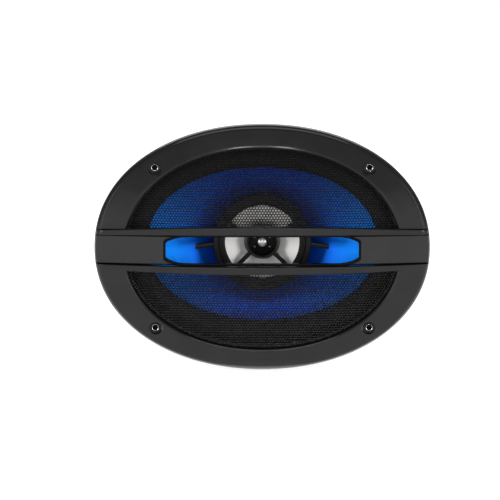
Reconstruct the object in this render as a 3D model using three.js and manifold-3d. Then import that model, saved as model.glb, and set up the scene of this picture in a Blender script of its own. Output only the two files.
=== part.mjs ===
import * as THREE from "three";
import { mergeVertices } from "three/addons/utils/BufferGeometryUtils.js";
import Module from "manifold-3d";

const wasm = await Module();
wasm.setup();

// Every piece is laid out facing up: x along the long axis, y along the short axis and z towards the
// listener, with z = 0 on the rear face of the mounting flange. The finished speaker is then stood upright.

const clearance = 0.3; // air left between pieces that touch on the real speaker

// Trim ring
const outlineHalfLength = 119;
const outlineHalfHeight = 89.3;
const openingHalfLength = 97.5;
const openingHalfHeight = 73.3;
const ovalFullness = 2.1;
const skirtHeight = 3;
const lipHeight = 6.9;
const lipInset = 4.2;
const crestHeight = 9.5;
const trimWall = 4.2;
const meshLedgeWidth = 2;
const meshLedgeHeight = 2.4;

// Mounting holes
const holeInset = 12.6; // from the ring's outer edge, along the long axis
const holeAngle = 45.6;
const counterboreRadius = 4;
const counterboreFloor = 3.6;
const screwHoleRadius = 2.25;
const bossRadius = 6.4;
const eyeletWall = 0.5;
const eyeletFlangeRadius = 3.6;

// Perforated mesh halves
const meshThickness = 0.8;
const meshDome = 6;
const meshTuck = 0.9; // how far the mesh's straight edge stops short of a rail's inner edge

// Centre band
const bandEndHeight = 9.2;
const bandBow = 6.8;
const railInnerEnd = 10.7;
const railInnerBow = 1;
const railEndWidth = 3.2;
const railCentreWidth = 5.4;
const railDepth = 4.8;
const panelSeam = 0.9;
const panelRecess = 2.2;
const windowHalfLength = 68.4;
const windowMargin = 2.1; // between the window and a rail's inner edge
const windowEndDrop = 3.7;
const windowTaper = 15;
const windowBorder = 1.4;
const windowRecess = 0.8;
const windowFrameDepth = 2;

// Basket
const sheetThickness = 1.2;
const skirtWall = 6; // plastic outside the flange's edge
const basketWallHalfLength = 100.6;
const ledgeDepth = 9.8;
const ledgeInner = 92.5;
const spiderLedgeDepth = 42.9;
const spiderLedgeOuter = 48;
const spiderLedgeInner = 40.5;
const basketFloorDepth = 50;
const basketWindowOuter = 86;
const basketWindowInner = 60;
const basketWindowCount = 6;
const basketArmAngle = 16;

// Woofer
const coneHalfLength = 81.5;
const coneHalfHeight = 55.4;
const coneEdgeDepth = 9;
const coneNeckDepth = 36;
const coneSag = 1;
const coneThickness = 0.8;
const coneTravel = 4;
const surroundThickness = 0.6;
const surroundRoll = 5.5;
const clampRingWidth = 3.6;
const clampRingHeight = 3.6;
const poleRadius = 18.5;
const coilGap = 0.4;
const formerWall = 0.3;
const formerDepth = 60;
const windingThickness = 0.7;
const windingHeight = 9;
const spiderThickness = 0.5;
const spiderWave = 1.1;
const spiderWaves = 3;

// Motor
const topPlateThickness = 6;
const topPlateRadius = 46;
const magnetRadius = 50;
const magnetBore = 25;
const magnetThickness = 16;
const backPlateThickness = 6;
const poleBore = 4;

// Midrange
const postRadius = 8;
const housingRim = 4.2;
const housingFront = 12;
const housingBase = 34.6;
const housingWall = 2;
const housingMargin = 1.1;
const midConeRadius = 26.4;
const midConeFront = 14.9;
const midConeBack = 24.6;
const midConeThickness = 0.5;
const midCoilRadius = 9.2;
const midRollWidth = 2;
const midRollHeight = 0.9;
const armReach = 47.5;
const armTall = 3.3;
const armDrop = 1.5;
const armThick = 3;
const armRise = 8;

// Tweeter
const strutWidth = 2.9;
const strutThick = 2;
const upperStrutAngle = 31;
const lowerStrutAngle = 43;
const hubRadius = 11;
const hubWall = 1.3;
const tweeterCupRadius = 12.8;
const tweeterCupDepth = 5.6;
const tweeterPlateThickness = 1.2;
const tweeterPlateFront = 14.4;
const domeRadius = 3.4;
const domeHeight = 1.8;
const tweeterRivetCircle = 6.35;
const tweeterRivetRadius = 0.9;

// Terminals
const boardHeight = 17;
const boardThickness = 2;
const tabThickness = 0.8;
const tabLength = 9;
const tabBase = 6.5;
const positiveTabWidth = 6.3;
const negativeTabWidth = 4.8;
const tabSpacing = 11;
const rivetHeadRadius = 1.6;
const rivetMargin = 0.6;

const wideSegments = 48;
const roundSegments = 36;
const smallSegments = 16;

// Levels and radii that follow from the sizes above
const railInnerCentre = railInnerEnd + railInnerBow;
const windowHalfHeight = railInnerCentre - windowMargin;
const windowEndHalfHeight = windowHalfHeight - windowEndDrop;
const railOuterEnd = railInnerEnd + railEndWidth;
const railOuterCentre = railInnerCentre + railCentreWidth;
const meshSlot = railInnerCentre + meshTuck;
const flangeHalfLength = outlineHalfLength - skirtWall;
const flangeFront = sheetThickness;
const trimUnderside = flangeFront + clearance;
const meshBottom = meshLedgeHeight + clearance;
const meshHalfLength = openingHalfLength - clearance;
const formerInner = poleRadius + coilGap;
const formerOuter = formerInner + formerWall;
const neckRadius = formerOuter + clearance;
const windingInner = formerOuter + clearance;
const windingOuter = windingInner + windingThickness;
const gapRadius = windingOuter + 2 * clearance;
const topPlateFront = -basketFloorDepth - clearance;
const topPlateBack = topPlateFront - topPlateThickness;
const magnetFront = topPlateBack - clearance;
const magnetBack = magnetFront - magnetThickness;
const backPlateFront = magnetBack - clearance;
const backPlateBack = backPlateFront - backPlateThickness;
const gapMiddle = (topPlateFront + topPlateBack) / 2;
const panelThickness = railDepth - panelRecess;
const panelHalfHeight = railInnerEnd - panelSeam;

const group = new THREE.Group();

// Finishes, shared by the pieces that are made of the same stuff
const finishes = {
  satinPlastic: { color: 0x2b2c2e, roughness: 0.45, metalness: 0 },
  railPlastic: { color: 0x35363a, roughness: 0.4, metalness: 0 },
  blackPlastic: { color: 0x101012, roughness: 0.4, metalness: 0 },
  blackSteel: { color: 0x18181a, roughness: 0.5, metalness: 0.6 },
  plainSteel: { color: 0x9a9ca0, roughness: 0.35, metalness: 1 },
  zincSteel: { color: 0xb4b6ba, roughness: 0.3, metalness: 1 },
  ferrite: { color: 0x232225, roughness: 0.75, metalness: 0 },
  blueCone: { color: 0x0f63e6, roughness: 0.3, metalness: 0.3 },
  rubber: { color: 0x141414, roughness: 0.8, metalness: 0 },
  silverCone: { color: 0xc9c8c4, roughness: 0.35, metalness: 0.5 },
  cloth: { color: 0xb98f3e, roughness: 0.95, metalness: 0 },
  card: { color: 0x2a2723, roughness: 0.9, metalness: 0 },
  foil: { color: 0xb8b9bc, roughness: 0.4, metalness: 0.9 },
  copper: { color: 0xb36b35, roughness: 0.35, metalness: 1 },
  brass: { color: 0xcaa04b, roughness: 0.35, metalness: 1 },
};

function signedVolume(position, index) {
  let volume = 0;
  const a = new THREE.Vector3();
  const b = new THREE.Vector3();
  const c = new THREE.Vector3();
  for (let i = 0; i < index.length; i += 3) {
    a.fromBufferAttribute(position, index[i]);
    b.fromBufferAttribute(position, index[i + 1]);
    c.fromBufferAttribute(position, index[i + 2]);
    volume += a.dot(b.cross(c)) / 6;
  }
  return volume;
}

// Welds a geometry's corners, drops the slivers at its poles and turns its faces outwards.
function welded(geometry) {
  const bare = geometry.clone();
  bare.deleteAttribute("normal");
  bare.deleteAttribute("uv");
  const merged = mergeVertices(bare, 1e-4);
  const old = merged.index.array;
  const kept = [];
  for (let i = 0; i < old.length; i += 3) {
    const [a, b, c] = [old[i], old[i + 1], old[i + 2]];
    if (a !== b && b !== c && c !== a) kept.push(a, b, c);
  }
  if (signedVolume(merged.attributes.position, kept) < 0) {
    for (let i = 0; i < kept.length; i += 3) {
      [kept[i], kept[i + 1]] = [kept[i + 1], kept[i]];
    }
  }
  merged.setIndex(kept);
  return merged;
}

function toManifold(geometry) {
  const solid = welded(geometry);
  const mesh = new wasm.Mesh({
    numProp: 3,
    vertProperties: new Float32Array(solid.attributes.position.array),
    triVerts: new Uint32Array(solid.index.array),
  });
  return new wasm.Manifold(mesh);
}

function toGeometry(manifold) {
  const mesh = manifold.getMesh();
  const geometry = new THREE.BufferGeometry();
  geometry.setAttribute("position", new THREE.BufferAttribute(new Float32Array(mesh.vertProperties), 3));
  geometry.setIndex(new THREE.BufferAttribute(new Uint32Array(mesh.triVerts), 1));
  return geometry;
}

function join(...geometries) {
  return toGeometry(geometries.map(toManifold).reduce((sum, next) => sum.add(next)));
}

function cut(geometry, ...tools) {
  return toGeometry(tools.map(toManifold).reduce((rest, tool) => rest.subtract(tool), toManifold(geometry)));
}

function common(...geometries) {
  return toGeometry(geometries.map(toManifold).reduce((shared, next) => shared.intersect(next)));
}

function place(name, geometry, finish) {
  const solid = welded(geometry);
  solid.computeVertexNormals();
  const mesh = new THREE.Mesh(solid, new THREE.MeshStandardMaterial(finishes[finish]));
  mesh.name = name;
  group.add(mesh);
}

// Turns a profile of [radius, z] corners round the sound axis. It closes on itself unless it ends on the axis.
function turned(corners, segments) {
  const points = corners.map(([r, z]) => new THREE.Vector2(r, z));
  const open = corners[0][0] === 0 && corners[corners.length - 1][0] === 0;
  if (!open) points.push(points[0].clone());
  const geometry = new THREE.LatheGeometry(points, segments);
  geometry.rotateX(Math.PI / 2);
  return geometry;
}

function between(value, [lowIn, lowOut], [highIn, highOut]) {
  return lowOut + ((value - lowIn) * (highOut - lowOut)) / (highIn - lowIn);
}

// Half-height of the oval whose half-length is given, stepping through known ovals.
function throughOvals(ovals) {
  return (halfLength) => {
    let step = 1;
    while (step < ovals.length - 1 && halfLength > ovals[step][0]) step += 1;
    return between(halfLength, ovals[step - 1], ovals[step]);
  };
}

// Squeezes turned work from round to oval.
function ovalised(geometry, heightOf, roundUpTo) {
  const position = geometry.attributes.position;
  for (let i = 0; i < position.count; i += 1) {
    const x = position.getX(i);
    const y = position.getY(i);
    const radius = Math.hypot(x, y);
    if (radius > 1e-6) {
      const share = Math.min(1, Math.max(0, (radius - roundUpTo) / (coneHalfLength - roundUpTo)));
      const power = 2 / (2 + (ovalFullness - 2) * share);
      const across = Math.sign(x) * Math.abs(x / radius) ** power;
      const up = Math.sign(y) * Math.abs(y / radius) ** power;
      position.setXY(i, radius * across, heightOf(radius) * up);
    }
  }
  return geometry;
}

const trimHeight = throughOvals([
  [coneHalfLength, coneHalfHeight],
  [openingHalfLength, openingHalfHeight],
  [outlineHalfLength, outlineHalfHeight],
]);
const holeOval = outlineHalfLength - holeInset;
const holeTurn = THREE.MathUtils.degToRad(holeAngle);
const holeHalfLength = holeOval * Math.cos(holeTurn) ** (2 / ovalFullness);
const holeHalfHeight = trimHeight(holeOval) * Math.sin(holeTurn) ** (2 / ovalFullness);
const basketHeight = throughOvals([
  [0, 0],
  [spiderLedgeOuter, spiderLedgeOuter],
  [coneHalfLength, coneHalfHeight + 2],
  [openingHalfLength, openingHalfHeight],
  [outlineHalfLength, outlineHalfHeight],
]);
const coneHeight = throughOvals([
  [neckRadius, neckRadius],
  [coneHalfLength, coneHalfHeight],
]);
const meshHeight = throughOvals([
  [0, 0],
  [openingHalfLength, openingHalfHeight],
]);

// A sheet of even thickness, measured along z, over a line of [radius, z] corners.
function sheet(line, thickness) {
  const back = line.map(([r, z]) => [r, z - thickness]).reverse();
  return [...line, ...back];
}

function upright(radius, low, high, x, y, segments = smallSegments) {
  const geometry = new THREE.CylinderGeometry(radius, radius, high - low, segments);
  geometry.rotateX(Math.PI / 2);
  geometry.translate(x, y, (low + high) / 2);
  return geometry;
}

const corners = [
  ["upper_left", -1, 1],
  ["upper_right", 1, 1],
  ["lower_left", -1, -1],
  ["lower_right", 1, -1],
];

// ---- Centre band: two bowed rails over two recessed panels and a window frame

function bowAt(x) {
  return 1 - (x / outlineHalfLength) ** 2;
}

function railTop(x) {
  return bandEndHeight + bandBow * bowAt(x);
}

function railOuter(x) {
  return railOuterEnd + (railOuterCentre - railOuterEnd) * bowAt(x);
}

function railInner(x) {
  return railInnerEnd + (railInnerCentre - railInnerEnd) * bowAt(x);
}

const bandSteps = 24;
const bandReach = outlineHalfLength + 4;

// Outline between two curves over x, as a flat shape.
function ribbon(lowOf, highOf, from = -bandReach, to = bandReach) {
  const points = [];
  for (let i = 0; i <= bandSteps; i += 1) {
    const x = from + ((to - from) * i) / bandSteps;
    points.push(new THREE.Vector2(x, lowOf(x)));
  }
  for (let i = bandSteps; i >= 0; i -= 1) {
    const x = from + ((to - from) * i) / bandSteps;
    points.push(new THREE.Vector2(x, highOf(x)));
  }
  return new THREE.Shape(points);
}

const tall = 60; // longer than any cut or crossing piece is deep

function seenFromFront(shape) {
  const geometry = new THREE.ExtrudeGeometry(shape, { depth: tall, bevelEnabled: false, curveSegments: 6 });
  geometry.translate(0, 0, -tall / 2);
  return geometry;
}

function seenFromBelow(shape) {
  const geometry = new THREE.ExtrudeGeometry(shape, { depth: tall, bevelEnabled: false, curveSegments: 6 });
  geometry.rotateX(Math.PI / 2);
  geometry.translate(0, tall / 2, 0);
  return geometry;
}

// The rounded outer form that trims the band's ends to the ring.
const bandCrown = bandEndHeight + bandBow + 2;
const envelope = ovalised(
  turned(
    [
      [0, -1],
      [outlineHalfLength - 0.2, -1],
      [outlineHalfLength - 0.2, bandEndHeight - 3.8],
      [outlineHalfLength - 1.1, bandEndHeight - 1.6],
      [outlineHalfLength - 2.8, bandEndHeight - 0.3],
      [outlineHalfLength - 5, bandEndHeight + 0.7],
      [outlineHalfLength / 2, bandCrown],
      [0, bandCrown],
    ],
    wideSegments,
  ),
  throughOvals([
    [0, 0],
    [outlineHalfLength, outlineHalfHeight],
  ]),
  0,
);

const railSide = seenFromBelow(ribbon((x) => railTop(x) - railDepth, railTop));
for (const [name, side] of [
  ["upper_rail", 1],
  ["lower_rail", -1],
]) {
  const plan = side > 0 ? ribbon(railInner, railOuter) : ribbon((x) => -railOuter(x), (x) => -railInner(x));
  place(name, common(envelope, railSide, seenFromFront(plan)), "railPlastic");
}

// A long window with tapering, softly cornered ends, grown outwards by the given amount.
function windowShape(grow) {
  const length = windowHalfLength + grow;
  const half = windowHalfHeight + grow;
  const end = windowEndHalfHeight + grow;
  const soft = 1.6;
  const shape = new THREE.Shape();
  shape.moveTo(-length, 0);
  shape.lineTo(-length, end - soft);
  shape.quadraticCurveTo(-length, end, -length + soft, end + soft / 3);
  shape.quadraticCurveTo(-length + windowTaper * 0.55, half, -length + windowTaper, half);
  shape.lineTo(length - windowTaper, half);
  shape.quadraticCurveTo(length - windowTaper * 0.55, half, length - soft, end + soft / 3);
  shape.quadraticCurveTo(length, end, length, end - soft);
  shape.lineTo(length, soft - end);
  shape.quadraticCurveTo(length, -end, length - soft, -end - soft / 3);
  shape.quadraticCurveTo(length - windowTaper * 0.55, -half, length - windowTaper, -half);
  shape.lineTo(-length + windowTaper, -half);
  shape.quadraticCurveTo(-length + windowTaper * 0.55, -half, -length + soft, -end - soft / 3);
  shape.quadraticCurveTo(-length, -end, -length, soft - end);
  shape.closePath();
  return shape;
}

const panelSide = seenFromBelow(
  ribbon(
    (x) => railTop(x) - panelRecess - panelThickness,
    (x) => railTop(x) - panelRecess,
  ),
);
const windowClear = seenFromFront(windowShape(windowBorder + clearance));
for (const [name, side] of [
  ["left_panel", -1],
  ["right_panel", 1],
]) {
  const inward = side * (windowHalfLength - windowTaper);
  const from = Math.min(inward, side * bandReach);
  const to = Math.max(inward, side * bandReach);
  const plan = ribbon(() => -panelHalfHeight, () => panelHalfHeight, from, to);
  place(name, cut(common(envelope, panelSide, seenFromFront(plan)), windowClear), "satinPlastic");
}

const frameTop = (x) => railTop(x) - panelRecess - windowRecess;
place(
  "window_frame",
  cut(
    common(
      seenFromFront(windowShape(windowBorder)),
      seenFromBelow(ribbon((x) => frameTop(x) - windowFrameDepth, frameTop)),
      seenFromFront(ribbon((x) => clearance - railInner(x), (x) => railInner(x) - clearance)),
    ),
    seenFromFront(windowShape(0)),
  ),
  "blackPlastic",
);

// ---- Trim ring: a hollow-backed moulding, notched for the band and bored for four screws

const crestInset = openingHalfLength + 1.3;
const channelInner = openingHalfLength + trimWall + 2;
const channelOuter = flangeHalfLength - 1;
const faceSlope = (crestHeight - lipHeight) / (outlineHalfLength - lipInset - crestInset);
const faceAt = (halfLength) => lipHeight + faceSlope * (outlineHalfLength - lipInset - halfLength);
const ringBlank = ovalised(
  turned(
    [
      [outlineHalfLength, 0],
      [outlineHalfLength, skirtHeight],
      [outlineHalfLength - lipInset * 0.1, between(0.38, [0, skirtHeight], [1, lipHeight])],
      [outlineHalfLength - lipInset * 0.35, between(0.72, [0, skirtHeight], [1, lipHeight])],
      [outlineHalfLength - lipInset * 0.66, between(0.91, [0, skirtHeight], [1, lipHeight])],
      [outlineHalfLength - lipInset, lipHeight],
      [crestInset, crestHeight],
      [openingHalfLength + 0.4, crestHeight - 0.3],
      [openingHalfLength, crestHeight - 1.1],
      [openingHalfLength, meshLedgeHeight],
      [openingHalfLength - meshLedgeWidth, meshLedgeHeight],
      [openingHalfLength - meshLedgeWidth, trimUnderside],
      [channelInner, trimUnderside],
      [channelInner + 0.5, faceAt(channelInner) - trimWall],
      [channelOuter - 0.5, faceAt(channelOuter) - trimWall],
      [channelOuter, trimUnderside],
      [flangeHalfLength + clearance, trimUnderside],
      [flangeHalfLength + clearance, 0],
    ],
    wideSegments,
  ),
  trimHeight,
  0,
);
const bosses = corners.map(([, sx, sy]) =>
  upright(bossRadius, trimUnderside, counterboreFloor + 1.6, sx * holeHalfLength, sy * holeHalfHeight),
);
const counterbores = corners.map(([, sx, sy]) =>
  upright(counterboreRadius, counterboreFloor, tall / 2, sx * holeHalfLength, sy * holeHalfHeight, 24),
);
const sleeveRadius = screwHoleRadius + eyeletWall / 2;
const sleeveHoles = corners.map(([, sx, sy]) =>
  upright(sleeveRadius + clearance, -1, tall / 2, sx * holeHalfLength, sy * holeHalfHeight),
);
const bandNotch = common(
  seenFromBelow(ribbon((x) => railTop(x) - railDepth - clearance, () => tall / 2)),
  seenFromFront(ribbon((x) => -railOuter(x) - clearance, (x) => railOuter(x) + clearance)),
);
place("grille_frame", cut(join(ringBlank, ...bosses), bandNotch, ...counterbores, ...sleeveHoles), "satinPlastic");

for (const [corner, sx, sy] of corners) {
  const eyelet = turned(
    [
      [sleeveRadius - eyeletWall, trimUnderside + clearance],
      [sleeveRadius, trimUnderside + clearance],
      [sleeveRadius, counterboreFloor + clearance],
      [eyeletFlangeRadius, counterboreFloor + clearance],
      [eyeletFlangeRadius, counterboreFloor + clearance + eyeletWall],
      [sleeveRadius - eyeletWall, counterboreFloor + clearance + eyeletWall],
    ],
    smallSegments,
  );
  eyelet.translate(sx * holeHalfLength, sy * holeHalfHeight, 0);
  place(`screw_eyelet_${corner}`, eyelet, "zincSteel");
}

// ---- Mesh halves: domed sheets that tuck under the rails

const meshLine = [];
const meshRings = 5;
for (let i = 0; i <= meshRings; i += 1) {
  const share = i / meshRings;
  meshLine.push([meshHalfLength * share, meshBottom + meshThickness + meshDome * (1 - share * share)]);
}
const meshDisc = ovalised(turned(sheet(meshLine, meshThickness), wideSegments), meshHeight, 0);
for (const [name, side] of [
  ["upper_mesh", 1],
  ["lower_mesh", -1],
]) {
  const half = new THREE.BoxGeometry(2 * outlineHalfLength, outlineHalfHeight, tall);
  half.translate(0, side * (meshSlot + outlineHalfHeight / 2), 0);
  place(name, common(meshDisc, half), "blackSteel");
}

// ---- Basket: one pressed sheet, cut away between its arms

const ledgeZ = -ledgeDepth;
const spiderLedgeZ = -spiderLedgeDepth;
const wallHalf = sheetThickness / 2;
const floorBore = gapRadius + 1.2;
const basketBlank = ovalised(
  turned(
    [
      [flangeHalfLength, 0],
      [flangeHalfLength, flangeFront],
      [basketWallHalfLength + wallHalf - sheetThickness, flangeFront],
      [basketWallHalfLength - wallHalf, ledgeZ],
      [ledgeInner, ledgeZ],
      [ledgeInner - 2, ledgeZ - 2.2],
      [spiderLedgeOuter + 8, spiderLedgeZ + 5],
      [spiderLedgeOuter, spiderLedgeZ],
      [spiderLedgeInner, spiderLedgeZ],
      [spiderLedgeInner - 1.5, -basketFloorDepth + sheetThickness],
      [floorBore, -basketFloorDepth + sheetThickness],
      [floorBore, -basketFloorDepth],
      [spiderLedgeInner - 0.6, -basketFloorDepth],
      [spiderLedgeInner + 1, spiderLedgeZ - sheetThickness],
      [spiderLedgeOuter + 0.6, spiderLedgeZ - sheetThickness],
      [spiderLedgeOuter + 9.4, spiderLedgeZ + 4.4],
      [ledgeInner - 0.8, ledgeZ - 2.9],
      [ledgeInner + 0.8, ledgeZ - sheetThickness],
      [basketWallHalfLength + wallHalf, ledgeZ - sheetThickness],
      [basketWallHalfLength + wallHalf, 0],
    ],
    wideSegments,
  ),
  basketHeight,
  spiderLedgeOuter,
);

function basketWindow(middle) {
  const spread = THREE.MathUtils.degToRad(360 / basketWindowCount - basketArmAngle) / 2;
  const centre = THREE.MathUtils.degToRad(middle);
  const steps = 8;
  const points = [];
  for (const [reach, way] of [
    [basketWindowOuter, 1],
    [basketWindowInner, -1],
  ]) {
    for (let i = 0; i <= steps; i += 1) {
      const angle = centre + way * spread * ((2 * i) / steps - 1);
      points.push(new THREE.Vector2(reach * Math.cos(angle), basketHeight(reach) * Math.sin(angle)));
    }
  }
  return seenFromFront(new THREE.Shape(points)).translate(0, 0, -(tall / 2 + sheetThickness));
}

const basketWindows = [];
for (let i = 0; i < basketWindowCount; i += 1) basketWindows.push(basketWindow((360 / basketWindowCount) * i));
const flangeHoles = corners.map(([, sx, sy]) =>
  upright(screwHoleRadius, -2, 2 + sheetThickness, sx * holeHalfLength, sy * holeHalfHeight),
);
place("basket", cut(basketBlank, ...basketWindows, ...flangeHoles), "blackSteel");

// ---- Woofer: surround, clamp ring, cone, coil and spider

const rollInner = coneHalfLength + clearance;
const lipInner = basketWallHalfLength - wallHalf - clearance - clampRingWidth - 1;
const lipOuter = basketWallHalfLength - wallHalf - clearance;
const lipTop = ledgeZ + clearance + surroundThickness;
const rollOuter = lipInner - 0.4;
const rollLine = [[rollInner, -coneEdgeDepth]];
const rollSteps = 6;
for (let i = 1; i < rollSteps; i += 1) {
  const angle = (Math.PI * i) / rollSteps;
  const radius = (rollInner + rollOuter) / 2 - ((rollOuter - rollInner) / 2) * Math.cos(angle);
  rollLine.push([radius, -coneEdgeDepth + surroundRoll * Math.sin(angle)]);
}
rollLine.push([rollOuter, lipTop], [lipOuter, lipTop]);
place(
  "surround",
  ovalised(turned(sheet(rollLine, surroundThickness), wideSegments), trimHeight, 0),
  "rubber",
);

const clampBottom = lipTop + clearance;
place(
  "clamp_ring",
  ovalised(
    turned(
      [
        [lipOuter - clampRingWidth, clampBottom],
        [lipOuter, clampBottom],
        [lipOuter, clampBottom + clampRingHeight],
        [lipOuter - clampRingWidth + 0.6, clampBottom + clampRingHeight],
        [lipOuter - clampRingWidth, clampBottom + clampRingHeight - 0.8],
      ],
      wideSegments,
    ),
    trimHeight,
    0,
  ),
  "card",
);

const coneLine = [];
const coneSteps = 5;
for (let i = 0; i <= coneSteps; i += 1) {
  const share = i / coneSteps;
  const radius = neckRadius + (coneHalfLength - neckRadius) * share;
  const depth = coneNeckDepth + (coneEdgeDepth - coneNeckDepth) * share;
  coneLine.push([radius, -depth - coneSag * 4 * share * (1 - share)]);
}
place(
  "woofer_cone",
  ovalised(turned(sheet(coneLine, coneThickness), wideSegments), coneHeight, neckRadius),
  "blueCone",
);

function tube(inner, outer, low, high, segments = roundSegments) {
  return turned(
    [
      [inner, low],
      [outer, low],
      [outer, high],
      [inner, high],
    ],
    segments,
  );
}

place("voice_coil_former", tube(formerInner, formerOuter, -formerDepth, 1.2 - coneNeckDepth), "foil");
place(
  "voice_coil_winding",
  tube(windingInner, windingOuter, gapMiddle - windingHeight / 2, gapMiddle + windingHeight / 2),
  "copper",
);

const spiderOuter = spiderLedgeOuter - 3;
const spiderTop = spiderLedgeZ + clearance + spiderThickness;
const spiderLine = [[neckRadius, spiderTop]];
const waveFrom = neckRadius + 2;
const waveTo = spiderLedgeInner - 0.5;
for (let i = 0; i <= spiderWaves * 2; i += 1) {
  const radius = waveFrom + ((waveTo - waveFrom) * i) / (spiderWaves * 2);
  spiderLine.push([radius, spiderTop + (i % 2 === 0 ? 0 : i % 4 === 1 ? spiderWave : -spiderWave)]);
}
spiderLine.push([spiderOuter, spiderTop]);
place("spider", turned(sheet(spiderLine, spiderThickness), roundSegments), "cloth");

// ---- Motor

place("top_plate", tube(gapRadius, topPlateRadius, topPlateBack, topPlateFront), "plainSteel");
place("magnet", tube(magnetBore, magnetRadius, magnetBack, magnetFront), "ferrite");
place(
  "yoke",
  turned(
    [
      [poleBore, backPlateBack],
      [topPlateRadius - 1, backPlateBack],
      [topPlateRadius, backPlateBack + 1],
      [topPlateRadius, backPlateFront],
      [poleRadius, backPlateFront],
      [poleRadius, topPlateFront + clearance],
      [poleBore, topPlateFront + clearance],
    ],
    roundSegments,
  ),
  "plainSteel",
);

const stakeCircle = (floorBore + spiderLedgeInner) / 2;
for (let i = 0; i < 4; i += 1) {
  const angle = THREE.MathUtils.degToRad(45 + 90 * i);
  const stake = turned(
    [
      [0, -basketFloorDepth + sheetThickness + clearance],
      [2.6, -basketFloorDepth + sheetThickness + clearance],
      [2.4, -basketFloorDepth + sheetThickness + clearance + 0.7],
      [1.6, -basketFloorDepth + sheetThickness + clearance + 1.3],
      [0, -basketFloorDepth + sheetThickness + clearance + 1.5],
    ],
    smallSegments,
  );
  stake.translate(stakeCircle * Math.cos(angle), stakeCircle * Math.sin(angle), 0);
  place(`basket_rivet_${i + 1}`, stake, "zincSteel");
}

// ---- Midrange on its post

const postTop = -housingBase - clearance;
const poleTop = topPlateFront + clearance;
place(
  "centre_post",
  turned(
    [
      [0, poleTop - 10],
      [poleBore - clearance, poleTop - 10],
      [poleBore - clearance, poleTop + clearance],
      [postRadius, poleTop + clearance],
      [postRadius, postTop],
      [0, postTop],
    ],
    24,
  ),
  "blackPlastic",
);

const rollRadius = midConeRadius + clearance + midRollWidth;
const seatDepth = midConeFront + clearance + midConeThickness;
const wallInner = rollRadius + 2.1;
const cupRadius = midCoilRadius + 5;
const housingRadius = wallInner + housingRim;

// Lowest level that a piece in the cone's mouth may reach at a radius, with the cone fully forward.
function overCone(radius) {
  const share = (radius - neckRadius) / (coneHalfHeight - neckRadius);
  const face = between(share, [0, -coneNeckDepth], [1, -coneEdgeDepth]) - coneSag * 4 * share * (1 - share);
  return face + coneTravel + housingMargin;
}

const housingProfile = [
  [0, -housingBase],
  [formerInner - 3.4, -housingBase],
  [formerInner - 1.7, 3.1 - housingBase],
  [neckRadius + 1.5, overCone(neckRadius + 1.5)],
  [housingRadius - 7, overCone(housingRadius - 7)],
  [housingRadius - 1, overCone(housingRadius - 1)],
  [housingRadius, overCone(housingRadius) + 1.4],
  [housingRadius, -housingFront - 0.6],
  [housingRadius - 0.6, -housingFront],
  [wallInner + 0.4, -housingFront],
  [wallInner, -housingFront - 0.5],
  [wallInner, -seatDepth],
  [rollRadius - 0.1, -seatDepth],
  [rollRadius - 0.5, -seatDepth - 1],
  [housingRadius - 8, overCone(housingRadius - 7) + housingWall],
  [neckRadius + 0.4, overCone(neckRadius + 1.5) + housingWall],
  [cupRadius + 1.2, overCone(neckRadius) + housingWall - 0.4],
  [cupRadius + 0.4, housingWall - housingBase],
  [0, housingWall - housingBase],
];
const housingBowl = turned(housingProfile, roundSegments);
const arms = [-1, 1].map((side) => {
  const root = housingRadius - 1.6;
  const low = -housingFront - 4.2;
  const shape = new THREE.Shape([
    new THREE.Vector2(root, low),
    new THREE.Vector2(armReach, low + armRise),
    new THREE.Vector2(armReach, low + armRise + armThick),
    new THREE.Vector2(root, low + armThick),
  ]);
  const geometry = new THREE.ExtrudeGeometry(shape, { depth: armTall, bevelEnabled: false });
  geometry.rotateX(Math.PI / 2);
  geometry.translate(0, armTall / 2 - armDrop, 0);
  if (side < 0) geometry.rotateZ(Math.PI).translate(0, -2 * armDrop, 0);
  return geometry;
});
place("midrange_housing", join(housingBowl, ...arms), "blackPlastic");

const cupFloor = housingWall - housingBase + clearance;
const cupFront = cupFloor + 6.2;
place(
  "midrange_yoke",
  turned(
    [
      [0, cupFloor],
      [cupRadius, cupFloor],
      [cupRadius, cupFront],
      [midCoilRadius + 1.6, cupFront],
      [midCoilRadius + 1.6, cupFloor + 1.7],
      [0, cupFloor + 1.7],
    ],
    24,
  ),
  "plainSteel",
);
place("midrange_magnet", upright(midCoilRadius - 1.2, cupFloor + 2, cupFloor + 4.4, 0, 0, 24), "ferrite");
place("midrange_pole_plate", upright(midCoilRadius - 0.6, cupFloor + 4.7, cupFront, 0, 0, 24), "plainSteel");
place("midrange_coil", tube(midCoilRadius, midCoilRadius + 0.3, cupFloor + 2.6, 0.4 - midConeBack, 32), "copper");

const midNeck = midCoilRadius + 0.3 + clearance;
const midLine = [];
const midSteps = 4;
for (let i = 0; i <= midSteps; i += 1) {
  const share = i / midSteps;
  const radius = midNeck + (midConeRadius - midNeck) * share;
  const depth = midConeBack + (midConeFront - midConeBack) * share;
  midLine.push([radius, -depth + 1.1 * share * (1 - share)]);
}
place("midrange_cone", turned(sheet(midLine, midConeThickness), roundSegments), "silverCone");

const midRollLine = [[midConeRadius + clearance, -midConeFront]];
for (let i = 1; i < 5; i += 1) {
  const angle = (Math.PI * i) / 5;
  const radius = midConeRadius + clearance + (midRollWidth / 2) * (1 - Math.cos(angle));
  midRollLine.push([radius, -midConeFront + midRollHeight * Math.sin(angle)]);
}
midRollLine.push([rollRadius, -midConeFront], [wallInner - clearance, -midConeFront]);
place("midrange_surround", turned(sheet(midRollLine, midConeThickness), roundSegments), "rubber");

// ---- Tweeter on its bridge

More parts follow.
